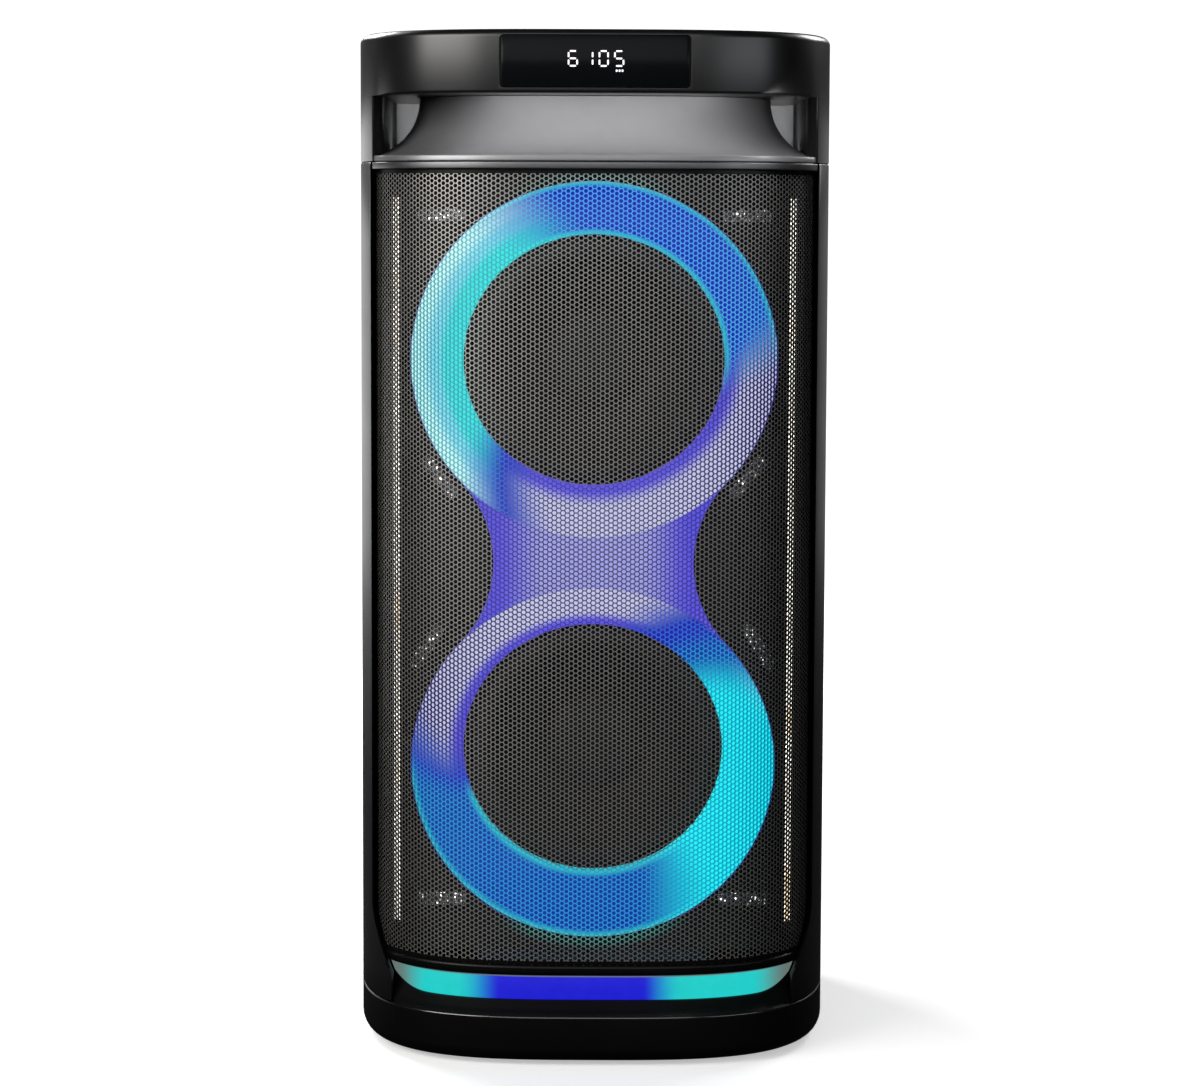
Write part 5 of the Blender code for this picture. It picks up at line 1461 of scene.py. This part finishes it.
# Volume knob with ribs round its edge
knob_low, knob_high = span("volume_knob")
KNOB_RADIUS = knob_high[0] - 0.5
SHAFT_BORE = 3.4
RIBS = 60
RIB_RADIUS = 0.55
RIB_HEIGHT = 3.2


def ring_of_ribs(tree, given):
    turn = tree.node("GeometryNodeInputIndex") / given("Count") * (2 * math.pi)
    x, y = (tree.sum(wave, turn) * given("Radius") for wave in ("COSINE", "SINE"))
    spot = tree.node("ShaderNodeCombineXYZ", (), {0: x, 1: y})
    spot = tree.node("ShaderNodeVectorMath", {"operation": "ADD"}, {0: spot, 1: given("Centre")})
    points = tree.node("GeometryNodePoints", (), {"Count": given("Count"), "Position": spot})
    values = {"Points": points, "Instance": tree.shape_of(given("Rib"))}
    values["Rotation"] = tree.node("ShaderNodeCombineXYZ", (), {2: turn})
    return tree.node("GeometryNodeInstanceOnPoints", (), values)


rib_ring = grower(
    "ribs round a knob", {"Rib": THING, "Count": WHOLE, "Radius": FLOAT, "Centre": VECTOR}, ring_of_ribs
)
top, foot, r = HEIGHT, knob_low[2], KNOB_RADIUS
profile = [(0, top - 2.0), (SHAFT_BORE, top - 2.0), (SHAFT_BORE, foot), (r - 0.6, foot), (r, foot + 0.6)]
profile += [(r, top - 1.6), (r - 0.4, top - 0.6), (r - 1.4, top - 0.05), (r - 3.0, top - 0.05)]
profile += [(r - 4.2, top - 0.7), (0, top - 0.9)]
knob = turned(profile, "Z", (0, CONTROL_Y), 96)
finish(knob, "knob_body", gloss_black, "gloss_black", ["volume_knob"], "volume_knob")
profile = [(0, 0.0), (RIB_RADIUS, 0.0), (RIB_RADIUS, RIB_HEIGHT - 0.6)]
profile += [(RIB_RADIUS / 2, RIB_HEIGHT - 0.1), (0, RIB_HEIGHT)]
rib = turned(profile, "Z", (0, 0), 8)
values = {"Rib": rib, "Count": RIBS, "Radius": (r - 0.1) * MM, "Look": gloss_black}
values["Centre"] = (0.0, CONTROL_Y * MM, (foot + 0.8) * MM)
ribs = grow(rib_ring, values)
bpy.data.objects.remove(rib)
finish(ribs, "knob_ribs", gloss_black, "gloss_black", (), "volume_knob")
pointer = plate([rounded(1.4, 7.0, 0.6, (0, CONTROL_Y - r + 9.0), 3)], "Z", top - 0.55, top - 1.2, 0.1, 2)
finish(pointer, "knob_pointer", symbol_grey, "gloss_black", (), "volume_knob")

# Rear panel and its round sockets
SQUARE_SOCKETS = {"mains_inlet": (3.4, 3.0), "switch_bezel": (2.4, 2.0), "usb_port": (1.8, 1.2)}
ROUND_SOCKETS = {"line_jack": 1.85, "microphone_jack_left": 3.4, "microphone_jack_right": 3.4}
COLLAR_WIDTH = 2.5


def socket_place(node):
    """Centre, width and height of a socket on the rear panel."""
    low, high = span(node)
    return ((low[0] + high[0]) / 2, (low[2] + high[2]) / 2), high[0] - low[0], high[2] - low[2]


holes = []
for node, (flange, corner) in SQUARE_SOCKETS.items():
    centre, width, height = socket_place(node)
    holes.append(rounded(width - 2 * (flange - FIT), height - 2 * (flange - FIT), corner, centre))
for node in ROUND_SOCKETS:
    centre, width, _ = socket_place(node)
    holes.append(circle(width / 2 - COLLAR_WIDTH + FIT, centre))
rear = plate([rear_plan] + holes, "Y", REAR_FACE, rear_low[1], 0.7)
even_shading(rear)
finish(rear, "rear_plate", satin_black, "satin_black", ["rear_panel"])

back, face = (corner[1] for corner in span("line_jack"))
for node, bore in ROUND_SOCKETS.items():
    centre, width, _ = socket_place(node)
    collar = width / 2
    body, seat = collar - COLLAR_WIDTH, REAR_FACE + FIT
    profile = [(0, back), (body, back), (body, seat), (collar, seat), (collar, face - 0.7)]
    profile += [(collar - 0.25, face - 0.2), (collar - 0.8, face), (bore + 0.9, face)]
    profile += [(bore + 0.3, face - 0.25), (bore, face - 0.9), (bore, back + 3.0), (0, back + 3.0)]
    finish(turned(profile, "Y", centre, 48), f"{node}_socket", matt_black, "matt_black", [node])

# Screws in the rear panel
SCREW_RADIUS = 3.2
SCREW_HEAD = 1.6
SCREW_INSET = 7.0


def on_spots(tree, given):
    values = {"Points": tree.shape_of(given("Spots")), "Instance": tree.shape_of(given("Screw"))}
    return tree.node("GeometryNodeInstanceOnPoints", (), values)


screw_spread = grower("screws on points", {"Screw": THING, "Spots": THING}, on_spots)


def make_screw(radius, head):
    """A pan-head screw with a cross slot, its seat at the origin and its head to the back."""
    dome = [(0, 0.0), (radius, 0.0), (radius, head * 0.35), (radius * 0.8, head * 0.8)]
    screw = turned(dome + [(radius * 0.45, head), (0, head)], "Y", (0, 0), 24)
    long, narrow = radius * 0.55, radius * 0.13
    for wide, tall in ((long, narrow), (narrow, long)):
        loop = [(-wide, -tall), (wide, -tall), (wide, tall), (-wide, tall)]
        carve(screw, skin([[(x, y, z) for x, z in loop] for y in (head * 0.45, head + 2.0)]))
    return screw


spots = []
for x in (SCREW_INSET - REAR_HALF_WIDTH, REAR_HALF_WIDTH - SCREW_INSET):
    for z in (REAR_BOTTOM + SCREW_INSET, REAR_MIDDLE, REAR_TOP - SCREW_INSET):
        spots.append((x * MM, REAR_FACE * MM, z * MM))
mesh = bpy.data.meshes.new("spots")
mesh.from_pydata(spots, [], [])
values = {"Screw": make_screw(SCREW_RADIUS, SCREW_HEAD), "Spots": linked("spots", mesh), "Look": screw_steel}
rear_screws = grow(screw_spread, values)
bpy.data.objects.remove(values["Screw"])
bpy.data.objects.remove(values["Spots"])
finish(rear_screws, "rear_screws", screw_steel, "steel")

# Bass port
PORT_FLARE = 16.0
PORT_LIP = 2.0
PORT_WALL = 4.0
mouth = BACK_Y - 1.0
flare_end = BACK_Y - WALL - PORT_FLARE
bore = PORT_MOUTH - PORT_FLARE
profile = [(PORT_MOUTH, mouth), (PORT_MOUTH, BACK_Y - WALL), (bore + PORT_WALL, flare_end)]
profile += [(bore + PORT_WALL, port_low[1]), (bore, port_low[1])]
for sweep in np.linspace(0.0, QUARTER, 17):
    radius = bore + (PORT_FLARE - PORT_LIP) * (1 - math.cos(sweep))
    profile.append((radius, flare_end + (mouth - flare_end) * math.sin(sweep)))
finish(turned(profile, "Y", (0, PORT_Z), 96), "port_tube", satin_black, "satin_black", ["bass_port"])

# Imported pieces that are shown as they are
SHOWN = {
    "amplifier_board": circuit_board,
    "battery_pack": pale_plastic,
    "control_board": circuit_board,
    "display_module": matt_black,
    "encoder_body": steel,
    "front_baffle": board_wood,
    "knob_shaft": steel,
    "mains_inlet": matt_black,
    "power_rocker": gloss_black,
    "ring_led_board": circuit_board,
    "side_light_left": strip_light,
    "side_light_right": strip_light,
    "switch_bezel": matt_black,
    "usb_port": steel,
}
for name in ("upper", "lower"):
    SHOWN[f"{name}_basket"] = matt_black
    SHOWN[f"{name}_magnet"] = ferrite
for name in ("top", "upper", "lower", "bottom"):
    for side in ("left", "right"):
        SHOWN[f"strobe_{name}_{side}"] = strobe_lens
for name, look in SHOWN.items():
    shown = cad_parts[name]
    shown.data.materials.clear()
    shown.data.materials.append(look)
for name in ("mains_inlet", "power_rocker", "switch_bezel", "usb_port"):
    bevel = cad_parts[name].modifiers.new("soft edges", "BEVEL")
    bevel.width = 0.25 * MM
    bevel.segments = 2
    bevel.limit_method = "ANGLE"
    bevel.angle_limit = math.radians(40)

# Studio: a round white bowl, soft lamps and the camera
STUDIO_RADIUS = 3900.0
STUDIO_BEND = 900.0
STUDIO_HEIGHT = 3600.0


def make_studio():
    """A floor that bends up into a wall on all sides."""
    flat = STUDIO_RADIUS - STUDIO_BEND
    line = [(0.0, 0.0), (flat, 0.0)]
    for sweep in np.linspace(0.0, QUARTER, 20)[1:]:
        line.append((flat + STUDIO_BEND * math.sin(sweep), STUDIO_BEND * (1 - math.cos(sweep))))
    line.append((STUDIO_RADIUS, STUDIO_HEIGHT))
    made = skin([level(circle(radius, (0, 0), 96), z) for radius, z in line], caps=False)
    made.name = made.data.name = "studio_bowl"
    made.data.flip_normals()
    made.data.materials.append(studio_white)
    made.data.polygons.foreach_set("use_smooth", [True] * len(made.data.polygons))
    made.visible_glossy = False
    made.visible_diffuse = False


make_studio()


def lamp(name, at, target, size, power, shade=(1.0, 1.0, 1.0), mirrored=True):
    """A soft lamp; one that isn't mirrored lights surfaces without showing in their gloss."""
    data = bpy.data.lights.new(name, "AREA")
    data.shape = "RECTANGLE"
    data.size, data.size_y = size[0] * MM, size[1] * MM
    data.energy = power
    data.color = shade
    made = linked(name, data)
    made.location = [value * MM for value in at]
    way = np.array(target) - np.array(at)
    flat = math.hypot(way[0], way[1])
    made.rotation_euler = Euler((math.atan2(flat, -way[2]), 0.0, -math.atan2(way[0], way[1])))
    made.visible_glossy = mirrored
    made.visible_camera = False


WARM, COOL = (1.0, 0.985, 0.96), (0.93, 0.96, 1.0)
lamp("softbox_left", (-1330, -1220, 1200), (0, 0, 500), (1400, 1000), 25.0, WARM)
lamp("softbox_right", (1440, -1350, 820), (0, 0, 520), (1300, 480), 3.7, COOL)
lamp("panel_behind_camera", (0, -3200, 2000), (0, 0, 520), (2600, 2600), 25.0)
lamp("rim_left", (-760, 1630, 390), (0, 0, 400), (1460, 520), 4.4)
lamp("side_left", (-1500, 900, 355), (0, 0, 360), (900, 410), 1.6)
lamp("rim_right", (760, 1630, 400), (0, 0, 400), (1460, 500), 0.95)
lamp("softbox_back_left", (-1300, 1900, 1700), (0, 0, 450), (900, 900), 44.0)
lamp("softbox_back_right", (1500, 1700, 1600), (0, 0, 450), (900, 900), 26.0)
x, y, z = 38, FRONT_Y + 10, BAND_BOTTOM - 8
lamp("neck_fill", (x, y, z), (x, y + 100, z - 80), (276, 20), 0.12)
for side in (-1, 1):
    x, z = side * (RECESS_HALF_WIDTH - 10), (SHOULDER + BAND_BOTTOM) / 2
    lamp(f"grip_fill_{side + 2}", (x, 0, z), (x, 100, z), (14, 34), 0.09, mirrored=False)

world = bpy.data.worlds.new("studio")
scene.world = world
world.use_nodes = True
world.node_tree.nodes["Background"].inputs["Color"].default_value = (0.55, 0.56, 0.58, 1.0)
world.node_tree.nodes["Background"].inputs["Strength"].default_value = 0.02

lens = bpy.data.cameras.new("camera")
lens.sensor_fit = "HORIZONTAL"
lens.sensor_width = SENSOR
lens.lens = CAMERA_LENS
lens.clip_start = 0.05
camera = linked("camera", lens)
camera.location = (0.0, -CAMERA_BACK * MM, CAMERA_HEIGHT * MM)
turn = Euler((math.radians(90 - CAMERA_PITCH), 0.0, math.radians(CAMERA_YAW))).to_matrix()
camera.rotation_euler = (turn @ Matrix.Rotation(math.radians(CAMERA_ROLL), 3, "Z")).to_euler()
scene.camera = camera
scene.view_settings.view_transform = "Standard"
scene.view_settings.look = "None"
